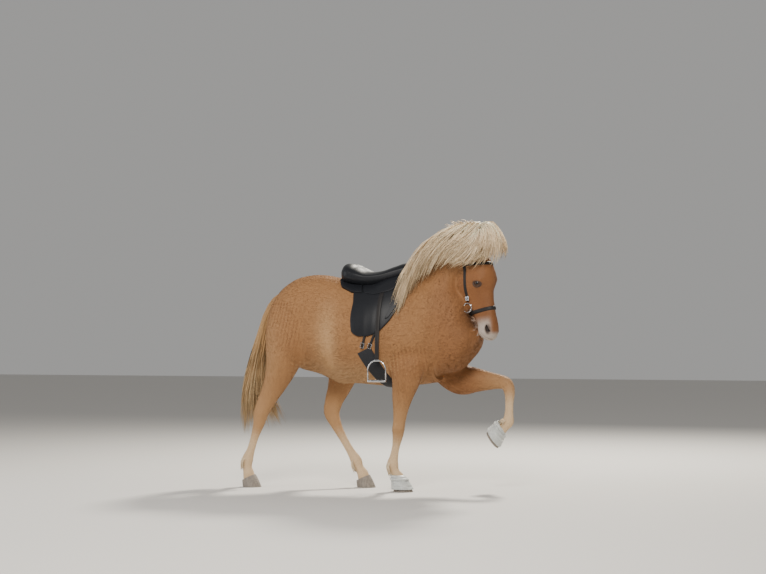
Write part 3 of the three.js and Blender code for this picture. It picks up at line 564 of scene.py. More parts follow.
def eased(mesh, turns, strength):
    points = points_of(mesh)
    pairs = np.empty(len(mesh.edges) * 2, int)
    mesh.edges.foreach_get("vertices", pairs)
    a, b = pairs.reshape(-1, 2).T
    count = np.bincount(a, minlength=len(points)) + np.bincount(b, minlength=len(points))
    for _ in range(turns):
        total = np.zeros_like(points)
        for k in range(3):
            total[:, k] = np.bincount(a, points[b, k], len(points))
            total[:, k] += np.bincount(b, points[a, k], len(points))
        points += (total / count[:, None] - points) * np.asarray(strength).reshape(-1, 1)
    return points


def inside_head(points):
    # Whether each point lies within the head.
    p = to_head(points)
    return (np.abs(p[:, 1]) < 110) & (p[:, 2] < 40) & (p[:, 2] > -600) & (p[:, 0] > -230)


is_head = inside_head(points_of(fused)) & (points_of(fused)[:, 0] > 360)
low_leg = smooth(760, 640, points_of(fused)[:, 2])
move(fused, eased(fused, 5, np.where(is_head, 0.3, 0.6 - 0.4 * low_leg)))
# The broad surfaces are eased further, until nothing is left of the grid's steps.
points = points_of(fused)
broad = ~inside_head(points) & (points[:, 0] < 520) & (points[:, 2] < 1480)
broad = broad * smooth(740, 830, points[:, 2])
move(fused, eased(fused, 26, 0.6 * broad))

# Finer faces where the eyes, nostrils and lips are worked.
work = bmesh.new()
work.from_mesh(fused)


def to_refine(eye_reach, muzzle_top, muzzle_back):
    # Whether each vertex lies round an eye or on the muzzle.
    work.verts.index_update()
    work.verts.ensure_lookup_table()
    local = to_head((np.array([v.co[:] for v in work.verts]) - SHIFT) / MM)
    near_eye = [np.linalg.norm(local * (1, side, 1) - EYE, axis=1) for side in (-1, 1)]
    muzzle = (local[:, 2] < muzzle_top) & (local[:, 2] > -640) & (local[:, 0] > muzzle_back)
    return (np.minimum(*near_eye) < eye_reach) | (muzzle & (np.abs(local[:, 1]) < 100))


detail = to_refine(52, -425, -90)
for _ in range(2):
    edges = [e for e in work.edges if all(detail[v.index] for v in e.verts)]
    bmesh.ops.subdivide_edges(work, edges=edges, cuts=1, use_grid_fill=True)
    detail = to_refine(46, -440, -80)
bmesh.ops.triangulate(work, faces=[f for f in work.faces if len(f.verts) > 4])
work.to_mesh(fused)
work.free()
move(fused, eased(fused, 2, 0.4))

# Eyelids: skin is drawn over a sphere round the eyeball and parts along a slanted almond.
points = points_of(fused)
local = to_head(points)
for side in (-1, 1):
    centre = EYE * (1, side, 1)
    away = local - centre
    dist = np.linalg.norm(away, axis=1)
    outwards = away[:, 1] * side
    slant = math.radians(12)
    u = away[:, 0] * math.cos(slant) - away[:, 2] * math.sin(slant)
    v = away[:, 0] * math.sin(slant) + away[:, 2] * math.cos(slant)
    u = u - 4
    close = smooth(46, 27, dist) * smooth(-8, 6, outwards)
    almond = np.sqrt((u / 20) ** 2 + (v / (10.4 * np.sqrt(np.clip(1 - (u / 26) ** 2, 0.05, 1)))) ** 2)
    lid = LID_RADIUS + 2.2 * bell(almond, 1.25, 0.25)
    lid = lid - 2.4 * bell(almond, 1.75, 0.22) * (v > 0)
    target = np.where(almond < 1, EYE_RADIUS - 3.5, lid)
    pull = smooth(1.06, 0.98, almond) * (outwards > 8) * (dist < 40)
    wanted = np.where(almond < 1.03, np.minimum(dist, target), np.maximum(dist, target * close))
    drawn = np.where(close > 0.05, dist + (wanted - dist) * np.maximum(close, pull), dist)
    over_eye = (outwards > 0) & (dist < 48)
    local = np.where(over_eye[:, None], centre + unit(away) * drawn[:, None], local)
    # Wrinkles above the lid.
    for off in (34, 41):
        ridge = bell(dist, off, 2.2) * smooth(4, 16, v) * smooth(0, 8, outwards)
        local = local + unit(away) * (ridge * -1.3)[:, None]

# Nostrils: a comma-shaped pit with a raised rim.
for side in (-1, 1):
    centre = np.array([62, 46 * side, -494.0])
    away = local - centre
    a = math.radians(24)
    lengthwise = away[:, 2] * math.cos(a) - away[:, 0] * math.sin(a)
    crosswise = away[:, 0] * math.cos(a) + away[:, 2] * math.sin(a)
    spread = np.sqrt((lengthwise / 23) ** 2 + ((crosswise - 0.012 * lengthwise**2) / 10.5) ** 2)
    facing = smooth(14, 24, local[:, 1] * side) * (local[:, 0] > 20)
    pit = smooth(1.15, 0.55, spread) * facing * (np.abs(away[:, 1]) < 34)
    rim = bell(spread, 1.35, 0.28) * facing * (np.abs(away[:, 1]) < 34)
    local[:, 1] -= side * (20 * pit - 3.6 * rim)
    local[:, 0] -= 8 * pit
# Mouth: a groove back from the lips, and the lips' soft edges.
MOUTH = np.array([[66, -562], [40, -548], [16, -528], [-4, -500], [-18, -466]], float)
best = np.full(len(local), 1e9)
for (x0, z0), (x1, z1) in zip(MOUTH[:-1], MOUTH[1:]):
    step = np.array([x1 - x0, z1 - z0])
    rel = local[:, [0, 2]] - (x0, z0)
    t = np.clip(rel @ step / (step @ step), 0, 1)
    best = np.minimum(best, np.linalg.norm(rel - t[:, None] * step, axis=1))
mouth_side = (np.abs(local[:, 1]) < 64) & (local[:, 0] > -42) & (local[:, 2] > -580)
groove = np.exp(-((best / 2.6) ** 2)) * (local[:, 2] < -440) * mouth_side
lips = bell(best, 8, 4) * (local[:, 2] < -470) * mouth_side
middle = np.array([20, 0, -500.0])
radial = unit((local - middle) * (1, 1, 0.4))
local = local - radial * (4.5 * groove - 1.2 * lips)[:, None]
move(fused, from_head(local))
move(fused, eased(fused, 1, 0.25))
for polygon in fused.polygons:
    polygon.use_smooth = True
fused.materials.clear()
fused.materials.append(coat_material)
flesh_nodes = ["torso", "neck", "head", "ear_near", "ear_far"]
for leg in LEGS:
    flesh_nodes += [leg + "_upper", leg + "_cannon", leg + "_pastern"]
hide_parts(*flesh_nodes)


def belong(points):
    # For each point: the part of the body it lies on, its share along it, and angle around it.
    best = np.full(len(points), 1e9)
    part = np.zeros(len(points), int)
    share = np.zeros(len(points))
    angle = np.zeros(len(points))
    flow = np.zeros((len(points), 3))
    for k, (name, stations) in enumerate(PARTS.items()):
        p = to_head(points) if name == "head" else points
        t = np.linspace(0, 1, 60)
        here, along, forward, left = sections(stations, t)
        for low in range(0, len(points), 40000):
            q = p[low : low + 40000]
            away = q[:, None] - here[None, :, :3]
            off = np.abs(np.einsum("nkc,kc->nk", away, along))
            miss = off + 0.1 * np.linalg.norm(away, axis=2)
            i = miss.argmin(1)
            row = np.arange(len(q))
            rel = away[row, i]
            a = np.einsum("nc,nc->n", rel, forward[i])
            b = np.einsum("nc,nc->n", rel, left[i])
            reach = np.where(a > 0, here[i, 3], here[i, 4])
            size = np.sqrt((a / reach) ** 2 + (b / here[i, 5]) ** 2) + off[row, i] / 25
            sl = slice(low, low + len(q))
            won = size < best[sl]
            best[sl] = np.where(won, size, best[sl])
            part[sl] = np.where(won, k, part[sl])
            share[sl] = np.where(won, t[i], share[sl])
            angle[sl] = np.where(won, np.arctan2(b, a), angle[sl])
            way = along[i] if name not in ("torso", "neck") else -along[i]
            if name == "head":
                way = way @ HEAD_AXES.T
            if name == "torso":
                way = way + np.array([0, 0, -0.35])
            flow[sl] = np.where(won[:, None], way, flow[sl])
    return part, share, angle, unit(flow)


# Colours by place: golden chestnut, redder on the face and shoulder, paler below and at the
# flank, pale muzzle, cream lower legs and hair, with painted sunlight along the top and painted
# shade under the chin and in the nostrils. The same rule paints skin, coat and hair.
GOLD = np.array([0.3, 0.148, 0.06])
RED = np.array([0.2, 0.08, 0.03])
PALE = np.array([0.46, 0.28, 0.135])
CREAM = np.array([0.72, 0.57, 0.38])
MUZZLE = np.array([0.42, 0.35, 0.3])
DARK = np.array([0.05, 0.035, 0.03])


def coat_colour(points, part, share):
    colour = np.tile(GOLD, (len(points), 1))

    def blend(towards, amount):
        colour[:] = colour + (towards - colour) * np.clip(amount, 0, 1)[:, None]

    x, y, z = points.T
    blend(RED, 0.55 * smooth(100, 320, x) * smooth(1500, 1250, z))
    blend(PALE, 0.6 * smooth(880, 720, z) * smooth(250, -100, x) * (part == 0))
    blend(RED, 0.3 * smooth(0.35, 0.2, share) * (part > 2))
    blend(PALE, 0.75 * np.exp(-(((x + 470) / 70) ** 2) - ((z - 960) / 210) ** 2))
    blend(PALE, 0.35 * np.exp(-(((x + 900) / 120) ** 2) - ((z - 900) / 260) ** 2))
    # Painted sunlight: a lighter copy of the gold along the top of the back and croup.
    blend(GOLD * 1.15, 0.5 * smooth(1150, 1330, z) * smooth(250, 0, x))
    h = to_head(points)
    back_edge = np.where(h[:, 2] < -400, -46, -240)
    on_head = (part == 2) & (np.abs(h[:, 1]) < 120) & (h[:, 2] > -574) & (h[:, 0] > back_edge)
    blend(RED, 0.75 * on_head)
    blend(RED * 0.72, 0.5 * on_head * smooth(-40, 60, h[:, 0]) * smooth(-150, -330, h[:, 2]))
    side_face = smooth(14, 40, np.abs(h[:, 1]))
    blend(MUZZLE, on_head * smooth(-400, -478, h[:, 2]) * (0.2 + 0.8 * side_face) * smooth(100, 60, h[:, 0]))
    blend(MUZZLE * 0.8, on_head * smooth(-505, -540, h[:, 2]))
    # Painted shade: the hollow between chin and breast is painted darker.
    chin_shade = np.exp(-(((h[:, 0] + 75) / 40) ** 2) - (h[:, 1] / 65) ** 2 - ((h[:, 2] + 465) / 70) ** 2)
    blend(RED * 0.4, 0.95 * np.sqrt(chin_shade) * smooth(-44, -54, h[:, 0]))
    for side in (-1, 1):
        eye = np.linalg.norm((h - EYE * (1, side, 1)) * (0.8, 1, 1), axis=1)
        blend(DARK, on_head * 0.9 * smooth(29.5, 25.5, eye))
        # Painted shade: the nostril pits are painted near black, for the shade in their deep openings.
        hole = np.linalg.norm((h - (62, 40 * side, -494)) * (1, 1, 0.62), axis=1)
        blend(DARK, on_head * smooth(27, 14, hole))
    for k, (name, stations) in enumerate(PARTS.items()):
        if name in LEGS:
            turning = [7.0, 8.6] if "hind" in name else [6.2, 8.4]
            edges = share_of(stations, turning)
            blend(CREAM, (part == k) * 0.92 * smooth(edges[0], edges[1], share))
            inner = (part == k) * smooth(edges[0] - 0.3, edges[0], share)
            blend(PALE, 0.5 * inner)
    return np.clip(colour, 0, 1)


def paint(mesh, colours):
    layer = mesh.color_attributes.new("Tone", "FLOAT_COLOR", "POINT")
    layer.data.foreach_set("color", np.column_stack([colours, np.ones(len(colours))]).ravel())


skin_points = points_of(fused)
skin_part, skin_share, skin_angle, skin_flow = belong(skin_points)
paint(fused, coat_colour(skin_points, skin_part, skin_share))
surface = BVHTree.FromPolygons(skin_points.tolist(), [tuple(p.vertices) for p in fused.polygons])

# Coat: short flat tufts of hair over the whole skin, laid along the lie of the coat.
# Each is a slim closed spike rooted in the skin; shortest on face and feet. Painted as the skin.
TUFTS = 120000
TUFT_LONG = 16
TUFT_WIDE = 1.7
BAKE_PATCH = 0.003
COAT_PIECES = 3

corners = np.array([[p.vertices[0], p.vertices[1], p.vertices[2], p.vertices[-1]] for p in fused.polygons])
quad = skin_points[corners]
cross_a = np.cross(quad[:, 1] - quad[:, 0], quad[:, 2] - quad[:, 0])
cross_b = np.cross(quad[:, 2] - quad[:, 0], quad[:, 3] - quad[:, 0])
area = (np.linalg.norm(cross_a, axis=1) + np.linalg.norm(cross_b, axis=1)) / 2
chosen = rng.choice(len(corners), TUFTS, p=area / area.sum())
mix = rng.dirichlet((1, 1, 1, 1), TUFTS)
roots = (quad[chosen] * mix[..., None]).sum(1)
skin_normals = normals_of(fused)
normal = unit((skin_normals[corners[chosen]] * mix[..., None]).sum(1))
part, share, angle, flow = belong(roots)
colour = coat_colour(roots, part, share)
h = to_head(roots)
eye_near = np.minimum(np.linalg.norm(h - EYE, axis=1), np.linalg.norm(h - EYE * (1, -1, 1), axis=1))
keep = ~((part == 2) & ((eye_near < 31) | (h[:, 2] < -468)))
roots, normal, part, share, angle, flow, colour = (
    a[keep] for a in (roots, normal, part, share, angle, flow, colour)
)
size = np.where(part == 2, 0.5, 1.0)
size = np.where(part > 2, np.interp(share, (0, 0.5, 1), (1.0, 0.7, 0.5)), size)
size = size * rng.uniform(0.75, 1.2, len(roots))
flat = unit(flow - normal * np.einsum("nc,nc->n", flow, normal)[:, None])
swirl = rng.normal(0, 0.07, len(roots)) + 0.1 * np.sin(roots[:, 0] / 47 + roots[:, 2] / 61)
across = np.cross(normal, flat)
lie = unit(flat + across * swirl[:, None])
across = np.cross(normal, lie)
rise = rng.uniform(0.015, 0.075, len(roots))
long = (TUFT_LONG * size)[:, None]
wide = (TUFT_WIDE * np.sqrt(size))[:, None]
root = roots - normal * 0.8
tip = roots + lie * long + normal * (long * rise[:, None])
ridge = root + normal * (0.8 + wide * 0.35)
tuft = np.stack([root - across * wide / 2, root + across * wide / 2, ridge, tip], 1)
tuft_tone = colour * rng.uniform(0.92, 1.09, len(roots))[:, None]


def unwrap(part, share, angle):
    # Where a point of the skin lies on its flat unwrap: one cell for each part, cut down its back.
    column, row = part % 4, part // 4
    u = (column + 0.04 + 0.92 * (angle / (2 * math.pi) + 0.5)) / 4
    v = (row + 0.04 + 0.92 * share) / 2
    return np.stack([u, v], -1)


def bake_map(mesh, centres, faces_each):
    # A small patch for each tuft or strand at its root's place on the unwrap.
    layer = mesh.uv_layers.new(name="OFBake")
    corner = np.array([(0, 0), (1, 0), (0.5, 1)]) * BAKE_PATCH - BAKE_PATCH / 2
    spots = np.repeat(centres, 3 * faces_each, axis=0)
    shape = np.tile(corner, (len(spots) // 3, 1))
    layer.data.foreach_set("uv", np.clip(spots + shape, 0, 1).ravel())


def hair_mesh(name, verts, faces, tones, material):
    # An object of many small closed triangle meshes, painted, in the model's frame.
    mesh = bpy.data.meshes.new(name)
    mesh.vertices.add(len(verts))
    mesh.vertices.foreach_set("co", (verts * MM + SHIFT).ravel())
    mesh.loops.add(faces.size)
    mesh.loops.foreach_set("vertex_index", faces.reshape(-1))
    mesh.polygons.add(len(faces))
    mesh.polygons.foreach_set("loop_start", np.arange(len(faces)) * 3)
    mesh.update(calc_edges=True)
    mesh.polygons.foreach_set("use_smooth", np.ones(len(faces), bool))
    paint(mesh, tones)
    made = bpy.data.objects.new(name, mesh)
    bpy.context.scene.collection.objects.link(made)
    mesh.materials.append(material)
    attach(made, "root")
    return made


def spikes(name, tufts, tones, centres):
    # Four-cornered closed spikes as one object.
    base = np.arange(len(tufts))[:, None, None] * 4
    faces = (base + np.array([(0, 2, 1), (0, 1, 3), (1, 2, 3), (2, 0, 3)])).reshape(-1, 3)
    made = hair_mesh(name, tufts.reshape(-1, 3), faces, np.repeat(tones, 4, axis=0), coat_material)
    bake_map(made.data, centres, 4)
    return made


spots = unwrap(part, share, angle)
for k in range(COAT_PIECES):
    part_of = slice(k, None, COAT_PIECES)
    coat = spikes("coat_%d" % (k + 1), tuft[part_of], tuft_tone[part_of], spots[part_of])
    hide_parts("torso")

# Long hair: mane, forelock, tail and fetlock hair, as thousands of flat, bending, tapered
# strands that follow the lie of the solids' locks. Each is closed and rooted in the skin.
# Each field is a row of locks, and each lock's points run from its root to its tip.
MANE = [
    [[66, 0, 1360], [58, -20, 1430], [34, -120, 1370], [10, -200, 1220], [-12, -236, 1062]],
    [[150, 0, 1425], [150, -20, 1525], [110, -110, 1480], [58, -185, 1330], [18, -222, 1130]],
    [[225, -5, 1475], [235, -22, 1600], [185, -110, 1560], [118, -168, 1420], [72, -196, 1228]],
    [[305, -20, 1515], [330, -35, 1650], [270, -112, 1605], [188, -162, 1480], [128, -186, 1318]],
    [[380, -38, 1525], [425, -50, 1682], [370, -124, 1625], [270, -170, 1500], [196, -190, 1352]],
    [[440, -50, 1515], [505, -66, 1694], [470, -146, 1605], [386, -184, 1500], [290, -194, 1418]],
]
FORELOCK = [
    [[462, -84, 1490], [500, -132, 1610], [500, -172, 1540], [455, -190, 1455], [370, -190, 1418]],
    [[478, -66, 1495], [520, -98, 1676], [585, -134, 1600], [592, -156, 1495], [560, -166, 1424]],
    [[495, -50, 1495], [545, -62, 1690], [628, -70, 1620], [652, -76, 1530], [640, -88, 1446]],
    [[495, -32, 1495], [545, -5, 1660], [618, 4, 1600], [640, 12, 1525], [628, 14, 1458]],
]
TAIL_BACK = [
    [-915, 0, 1262], [-990, 0, 1190], [-1052, 0, 1000], [-1120, 5, 780], [-1160, 10, 560],
    [-1160, 10, 330],
]
TAIL = [
    TAIL_BACK,
    [[-915, -12, 1250], [-975, -34, 1150], [-1020, -50, 980], [-1070, -50, 760], [-1105, -46, 570],
        [-1105, -30, 380]],
    [[-915, 0, 1235], [-962, 0, 1110], [-992, 0, 940], [-1010, 10, 750], [-980, 30, 560],
        [-900, 45, 395]],
    [[-915, 12, 1250], [-975, 34, 1150], [-1020, 54, 980], [-1062, 70, 760], [-1062, 82, 560],
        [-1010, 80, 370]],
    TAIL_BACK,
]
hair_material = grained("hair", 0.45, 420, 0.1, 0.0006, 0.16, sheen=0.04)
STRAND_ROWS = 9
HAIR_TOP = 1700


def along_curve(points, t):
    # Points at shares t along smooth curves; points is (..., controls, 3) and t is (n,).
    p = np.concatenate([2 * points[..., :1, :] - points[..., 1:2, :], points,
                        2 * points[..., -1:, :] - points[..., -2:-1, :]], axis=-2)
    spans = points.shape[-2] - 1
    x = np.clip(np.asarray(t), 0, 1) * spans
    i = np.minimum(x.astype(int), spans - 1)
    f = (x - i)[:, None]
    a, b, c, d = (p[..., i + k, :] for k in range(4))
    return 0.5 * (2 * b + (c - a) * f + (2 * a - 5 * b + 4 * c - d) * f**2 + (3 * b - a - 3 * c + d) * f**3)


def field(rows, across, steps):
    # Paths of strands at shares across a field of control rows.
    rows = np.array(rows, float)
    lines = along_curve(rows, np.linspace(0, 1, steps))
    return along_curve(lines.transpose(1, 0, 2), across).transpose(1, 0, 2)


def strands(name, rows, count, nodes, wide, thick, spread, lift, stray, tone,
            reach=(0.7, 1.04), clump=9):
    # Rows of strands, gathered into locks: neighbours draw together towards their tips.
    lock_count = max(count // clump, 1)
    lock_share = (np.arange(lock_count) + rng.uniform(0, 1, lock_count)) / lock_count
    owner = rng.integers(0, lock_count, count)
    home = np.clip(lock_share[owner] + rng.normal(0, 0.6 / lock_count, count), 0, 1)
    paths = field(rows, home, STRAND_ROWS)
    lock_paths = field(rows, lock_share, STRAND_ROWS)[owner]
    t = np.linspace(0, 1, STRAND_ROWS)[None, :, None]
    gather = 0.75 * smooth(0.1, 0.9, t)
    paths = paths + (lock_paths - paths) * gather
    lock_bend = rng.normal(0, 1, (lock_count, 3))[owner]
    own_bend = rng.normal(0, 1, (count, 3))
    waves = rng.uniform(1.0, 2.4, (lock_count, 1, 1))[owner]
    wave = np.sin(t * math.pi * waves + rng.uniform(0, 6, (lock_count, 1, 1))[owner])
    paths = paths + (lock_bend * spread)[:, None] * t**1.2 + (own_bend * spread * 0.35)[:, None] * t
    paths = paths + wave * t * spread * 0.5 * unit(lock_bend)[:, None]
    depth = rng.uniform(0, 1, count)
    length = rng.uniform(reach[0], reach[1], count) * rng.uniform(0.86, 1.0, lock_count)[owner]
    fly = (stray * rng.uniform(0, 1, count) ** 5)[:, None, None]
    paths = paths + fly * t**1.4 * np.array([-0.35, rng.uniform(-0.2, 0.2), 0.85])
    cut = np.empty_like(paths)
    for k in range(STRAND_ROWS):
        at = np.clip(t[0, k, 0] * length, 0, 1) * (STRAND_ROWS - 1)
        i = np.minimum(at.astype(int), STRAND_ROWS - 2)
        f = (at - i)[:, None]
        cut[:, k] = paths[np.arange(count), i] * (1 - f) + paths[np.arange(count), i + 1] * f
    paths = cut
    # Nothing flies far above the crest.
    paths[..., 2] -= 0.5 * np.maximum(paths[..., 2] - HAIR_TOP, 0)
    out = np.empty_like(paths)
    for n in range(count):
        for k in range(STRAND_ROWS):
            spot, away, _, _ = surface.find_nearest(Vector(paths[n, k]))
            away = np.array(away)
            over = float(np.dot(paths[n, k] - np.array(spot), away))
            least = lift * (0.25 + depth[n])
            if k >= 2 and over < least:
                paths[n, k] = np.array(spot) + away * least
            out[n, k] = away
    way = unit(np.gradient(paths, axis=1))
    aside = unit(np.cross(way, out + rng.normal(0, 0.5, (count, 1, 3))))
    flat = np.cross(aside, way)
    profile = np.sin(np.pi * (0.22 + 0.78 * np.linspace(0, 1, STRAND_ROWS)) ** 0.9) ** 0.8
    profile[-1] = 0.0
    half_wide = (wide * rng.uniform(0.6, 1.3, count))[:, None, None] * profile[None, :, None] / 2
    half_thick = (thick * rng.uniform(0.7, 1.2, count))[:, None, None] * profile[None, :, None] / 2
    ring = np.stack([paths - aside * half_wide, paths + flat * half_thick, paths + aside * half_wide], 2)
    body = ring[:, :-1]
    n_rows = STRAND_ROWS - 1
    verts = np.concatenate([body.reshape(count, -1, 3), paths[:, -1:]], axis=1)
    per = verts.shape[1]
    one = [[0, 2, 1]]
    for r in range(n_rows - 1):
        for c in range(3):
            a, b = r * 3 + c, r * 3 + (c + 1) % 3
            one += [[a, b, b + 3], [a, b + 3, a + 3]]
    for c in range(3):
        one.append([(n_rows - 1) * 3 + c, (n_rows - 1) * 3 + (c + 1) % 3, per - 1])
    one = np.array(one)
    faces = (np.arange(count)[:, None, None] * per + one[None]).reshape(-1, 3)
    root_part, root_share, root_angle, _ = belong(paths[:, 0])
    shade = tone(paths, depth, rng.normal(0, 1, lock_count)[owner], rng.normal(0, 1, count))
    full = np.concatenate([np.repeat(shade[:, :-1], 3, axis=1), shade[:, -1:]], axis=1)
    tones = np.clip(full.reshape(-1, 3), 0.004, 1)
    made = hair_mesh(name, verts.reshape(-1, 3), faces, tones, hair_material)
    bake_map(made.data, unwrap(root_part, root_share, root_angle), len(one))
    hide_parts(*nodes)


MANE_TIP = np.array([0.95, 0.83, 0.62])
MANE_MID = np.array([0.8, 0.61, 0.37])
MANE_DEEP = np.array([0.34, 0.18, 0.075])
TAIL_ROOT = np.array([0.36, 0.19, 0.08])
TAIL_MID = np.array([0.45, 0.27, 0.12])
TAIL_TIP = np.array([0.72, 0.54, 0.31])


def mane_tone(paths, depth, lock, own):
    t = np.linspace(0, 1, STRAND_ROWS)[None, :, None]
    # Darker tan locks at random, and painted shade on strands that lie deep, near the skin.
    streak_and_shade = np.clip(0.4 * (1 - depth)[:, None, None] + 0.22 * lock[:, None, None], 0, 0.9)
    # Flaxen hair, palest at the crest and cream lower down; that pale crest is partly painted sunlight.
    base = MANE_TIP + (MANE_MID - MANE_TIP) * smooth(0.25, 0.9, t) * 0.8
    base = base + (MANE_DEEP - base) * streak_and_shade * (0.35 + 0.65 * smooth(0.3, 0.8, t))
    # Painted sunlight: the highest strands are painted lighter still.
    painted_sunlight = 1 + 0.2 * smooth(1480, 1640, paths[..., 2:])
    return base * painted_sunlight * (1 + 0.08 * own)[:, None, None]


def tail_tone(paths, depth, lock, own):
    t = np.linspace(0, 1, STRAND_ROWS)[None, :, None]
    base = TAIL_ROOT + (TAIL_MID - TAIL_ROOT) * smooth(0, 0.35, t)
    base = base + (TAIL_TIP - base) * smooth(0.45, 1, t) * (0.55 + 0.25 * lock[:, None, None])
    # Painted shade: strands that lie deep, near the skin, are darker; the rest varies at random.
    return base * (1 + 0.12 * own - 0.1 * (1 - depth))[:, None, None]


def feather_tone(paths, depth, lock, own):
    return np.tile(CREAM * 0.98, (*paths.shape[:2], 1)) * (1 + 0.08 * own)[:, None, None]


between = (np.array(MANE[-1]) * 0.5 + np.array(FORELOCK[0]) * 0.5).tolist()
CROWN = [MANE[-1], between, FORELOCK[0], FORELOCK[1]]
strands("mane", MANE, 3300, ["neck"], 5.6, 2.0, 13, 15, 130, mane_tone,
        reach=(0.55, 1.06), clump=13)
strands("crown", CROWN, 900, ["head"], 5.2, 1.9, 12, 16, 150, mane_tone,
        reach=(0.6, 1.05), clump=13)
strands("forelock", FORELOCK, 1250, ["head"], 5.0, 1.9, 12, 14, 110, mane_tone,
        reach=(0.6, 1.06), clump=12)
FLYING = [
    [[330, -30, 1500], [345, -45, 1612], [325, -75, 1660], [290, -110, 1682], [250, -140, 1688]],
    [[400, -45, 1515], [412, -60, 1630], [398, -85, 1682], [372, -110, 1703], [345, -130, 1710]],
    [[455, -50, 1520], [475, -60, 1632], [470, -85, 1685], [452, -108, 1705], [430, -125, 1711]],
]
strands("flying_hair", FLYING, 170, ["neck"], 3.6, 1.4, 13, 16, 8, mane_tone,
        reach=(0.6, 1.0), clump=7)
strands("tail", TAIL, 3000, ["tail"], 7, 2.4, 15, 7, -20, tail_tone, clump=18)

# Eyes: dark, wet balls set deep under the lids, with a brown iris and a wide pupil.
# Glossy; each fits the socket that the lids close over.
eye_material, tree, shader = node_material("eye", 0.12)
ramp = tree.nodes.new("ShaderNodeValToRGB")
ramp.color_ramp.elements[0].position = 0.3
ramp.color_ramp.elements[0].color = (0.004, 0.004, 0.005, 1)
ramp.color_ramp.elements[1].position = 0.62
ramp.color_ramp.elements[1].color = (0.055, 0.024, 0.01, 1)
shader.inputs["Specular IOR Level"].default_value = 0.35
iris = tree.nodes.new("ShaderNodeAttribute")
iris.attribute_name = "Iris"
tree.links.new(iris.outputs["Fac"], ramp.inputs["Fac"])
tree.links.new(ramp.outputs["Color"], shader.inputs["Base Color"])


def ball(centre, radius, around=48, rows=30):
    polar = np.linspace(0, math.pi, rows + 2)[1:-1]
    turn = np.arange(around) / around * 2 * math.pi
    ring = np.stack([np.outer(np.sin(polar), np.cos(turn)), np.outer(np.sin(polar), np.sin(turn)),
                     np.outer(np.cos(polar), np.ones(around))], -1)
    up = np.array([0, 0, radius])
    return rings(ring * radius + centre, centre + up, centre - up)


for name, side in SIDES.items():
    verts, faces = ball(EYE * (1, side, 1), EYE_RADIUS)
    made = piece("eyeball_" + name, (from_head(verts), faces), eye_material, ["eye_" + name])
    local = to_head(points_of(made.data)) - EYE * (1, side, 1)
    gaze = unit(np.array([0.42, side, 0.02]))
    away = np.linalg.norm(local / EYE_RADIUS - gaze, axis=1)
    layer = made.data.attributes.new("Iris", "FLOAT", "POINT")
    layer.data.foreach_set("value", np.clip(away, 0, 1))

# Hooves: sloped horn cones with growth rings and a flat sole on the floor.
# Dusty grey horn; each foot's frame is x, y, z of its sole and the turn of the foot.
FEET = {
    "near_fore": (-4, -100, 0, 0),
    "far_fore": (515, 130, 324, 55),
    "near_hind": (-1052, -110, 0, 0),
    "far_hind": (-338, 118, 0, 0),
}
horn_material = grained("horn", 0.55, 90, 0.25, 0.0008, 0.22, colour=(0.23, 0.2, 0.17))
HOOF = {"long": 62, "wide": 57, "set": -24, "top": 62, "top_long": 43, "top_wide": 41, "slope": 25}


def from_foot(points, foot):
    x, y, z, turn = foot
    a = math.radians(turn)
    p = np.asarray(points, float)
    turned = np.stack([p[..., 0] * math.cos(a) + p[..., 2] * math.sin(a), p[..., 1],
                       -p[..., 0] * math.sin(a) + p[..., 2] * math.cos(a)], -1)
    return turned + (x, y, z)


def hoof(foot, around=72, rows=40):
    share = np.linspace(0, 1, rows)[:, None]
    angle = np.arange(around)[None] / around * 2 * math.pi
    ripple = 0.7 * np.sin(share * 46 + np.cos(angle)) * (share > 0.12) * (share < 0.97)
    grow = -0.3 + ripple + 1.6 * bell(share, 0.04, 0.05)
    long = HOOF["top_long"] + (HOOF["long"] - HOOF["top_long"]) * share**0.8 + grow
    wide = HOOF["top_wide"] + (HOOF["wide"] - HOOF["top_wide"]) * share**0.8 + grow
    middle = HOOF["set"] * (1 - share)
    x = middle + np.cos(angle) * long
    y = np.sin(angle) * wide
    # The heels are parted by a notch at the back.
    notch = 6 * bell(angle, math.pi, 0.22) * (0.4 + 0.6 * share)
    x = x + notch
    z = HOOF["top"] * (1 - share) + (1 - share) * (x - HOOF["set"]) * math.tan(math.radians(HOOF["slope"]))
    points = np.stack([x, y, z * np.ones_like(x)], -1)
    return rings(from_foot(points, foot), from_foot(np.array([HOOF["set"], 0, HOOF["top"]]), foot),
                 from_foot(np.array([-6, 0, 0.0]), foot))


for name, foot in FEET.items():
    piece("horn_" + name, hoof(foot), horn_material, [name + "_hoof"])

# Heel boots: ribbed, milky rubber bells round the fore hooves, with a strap.
# Hollow; each hangs round the pastern and rests over the hoof.
rubber_material = grained("rubber", 0.4, 60, 1, 0.0006, 0.12, colour=(0.66, 0.68, 0.66))
rubber_shader = rubber_material.node_tree.nodes["Principled BSDF"]
rubber_shader.inputs["Transmission Weight"].default_value = 0.25
rubber_shader.inputs["Subsurface Weight"].default_value = 0.2
rubber_shader.inputs["Subsurface Radius"].default_value = (0.01, 0.01, 0.01)
BOOT_HIGH = 104
BOOT_LOW = 16
BOOT_WALL = 3.2
RIBS = 5
RIB_HIGH = 1.9


def boot_round(share, out, around=72):
    # Points round the boot at a share of its height from the top, set out from its wall.
    angle = np.arange(around) / around * 2 * math.pi
    x = -42 + 36 * share**0.7 + np.cos(angle) * (41 + 30 * share**0.75 + out)
    y = np.sin(angle) * (38 + 28 * share**0.75 + out)
    z = (BOOT_HIGH + (BOOT_LOW - BOOT_HIGH) * share) * np.ones_like(angle)
    return np.stack([x, y, z], -1)


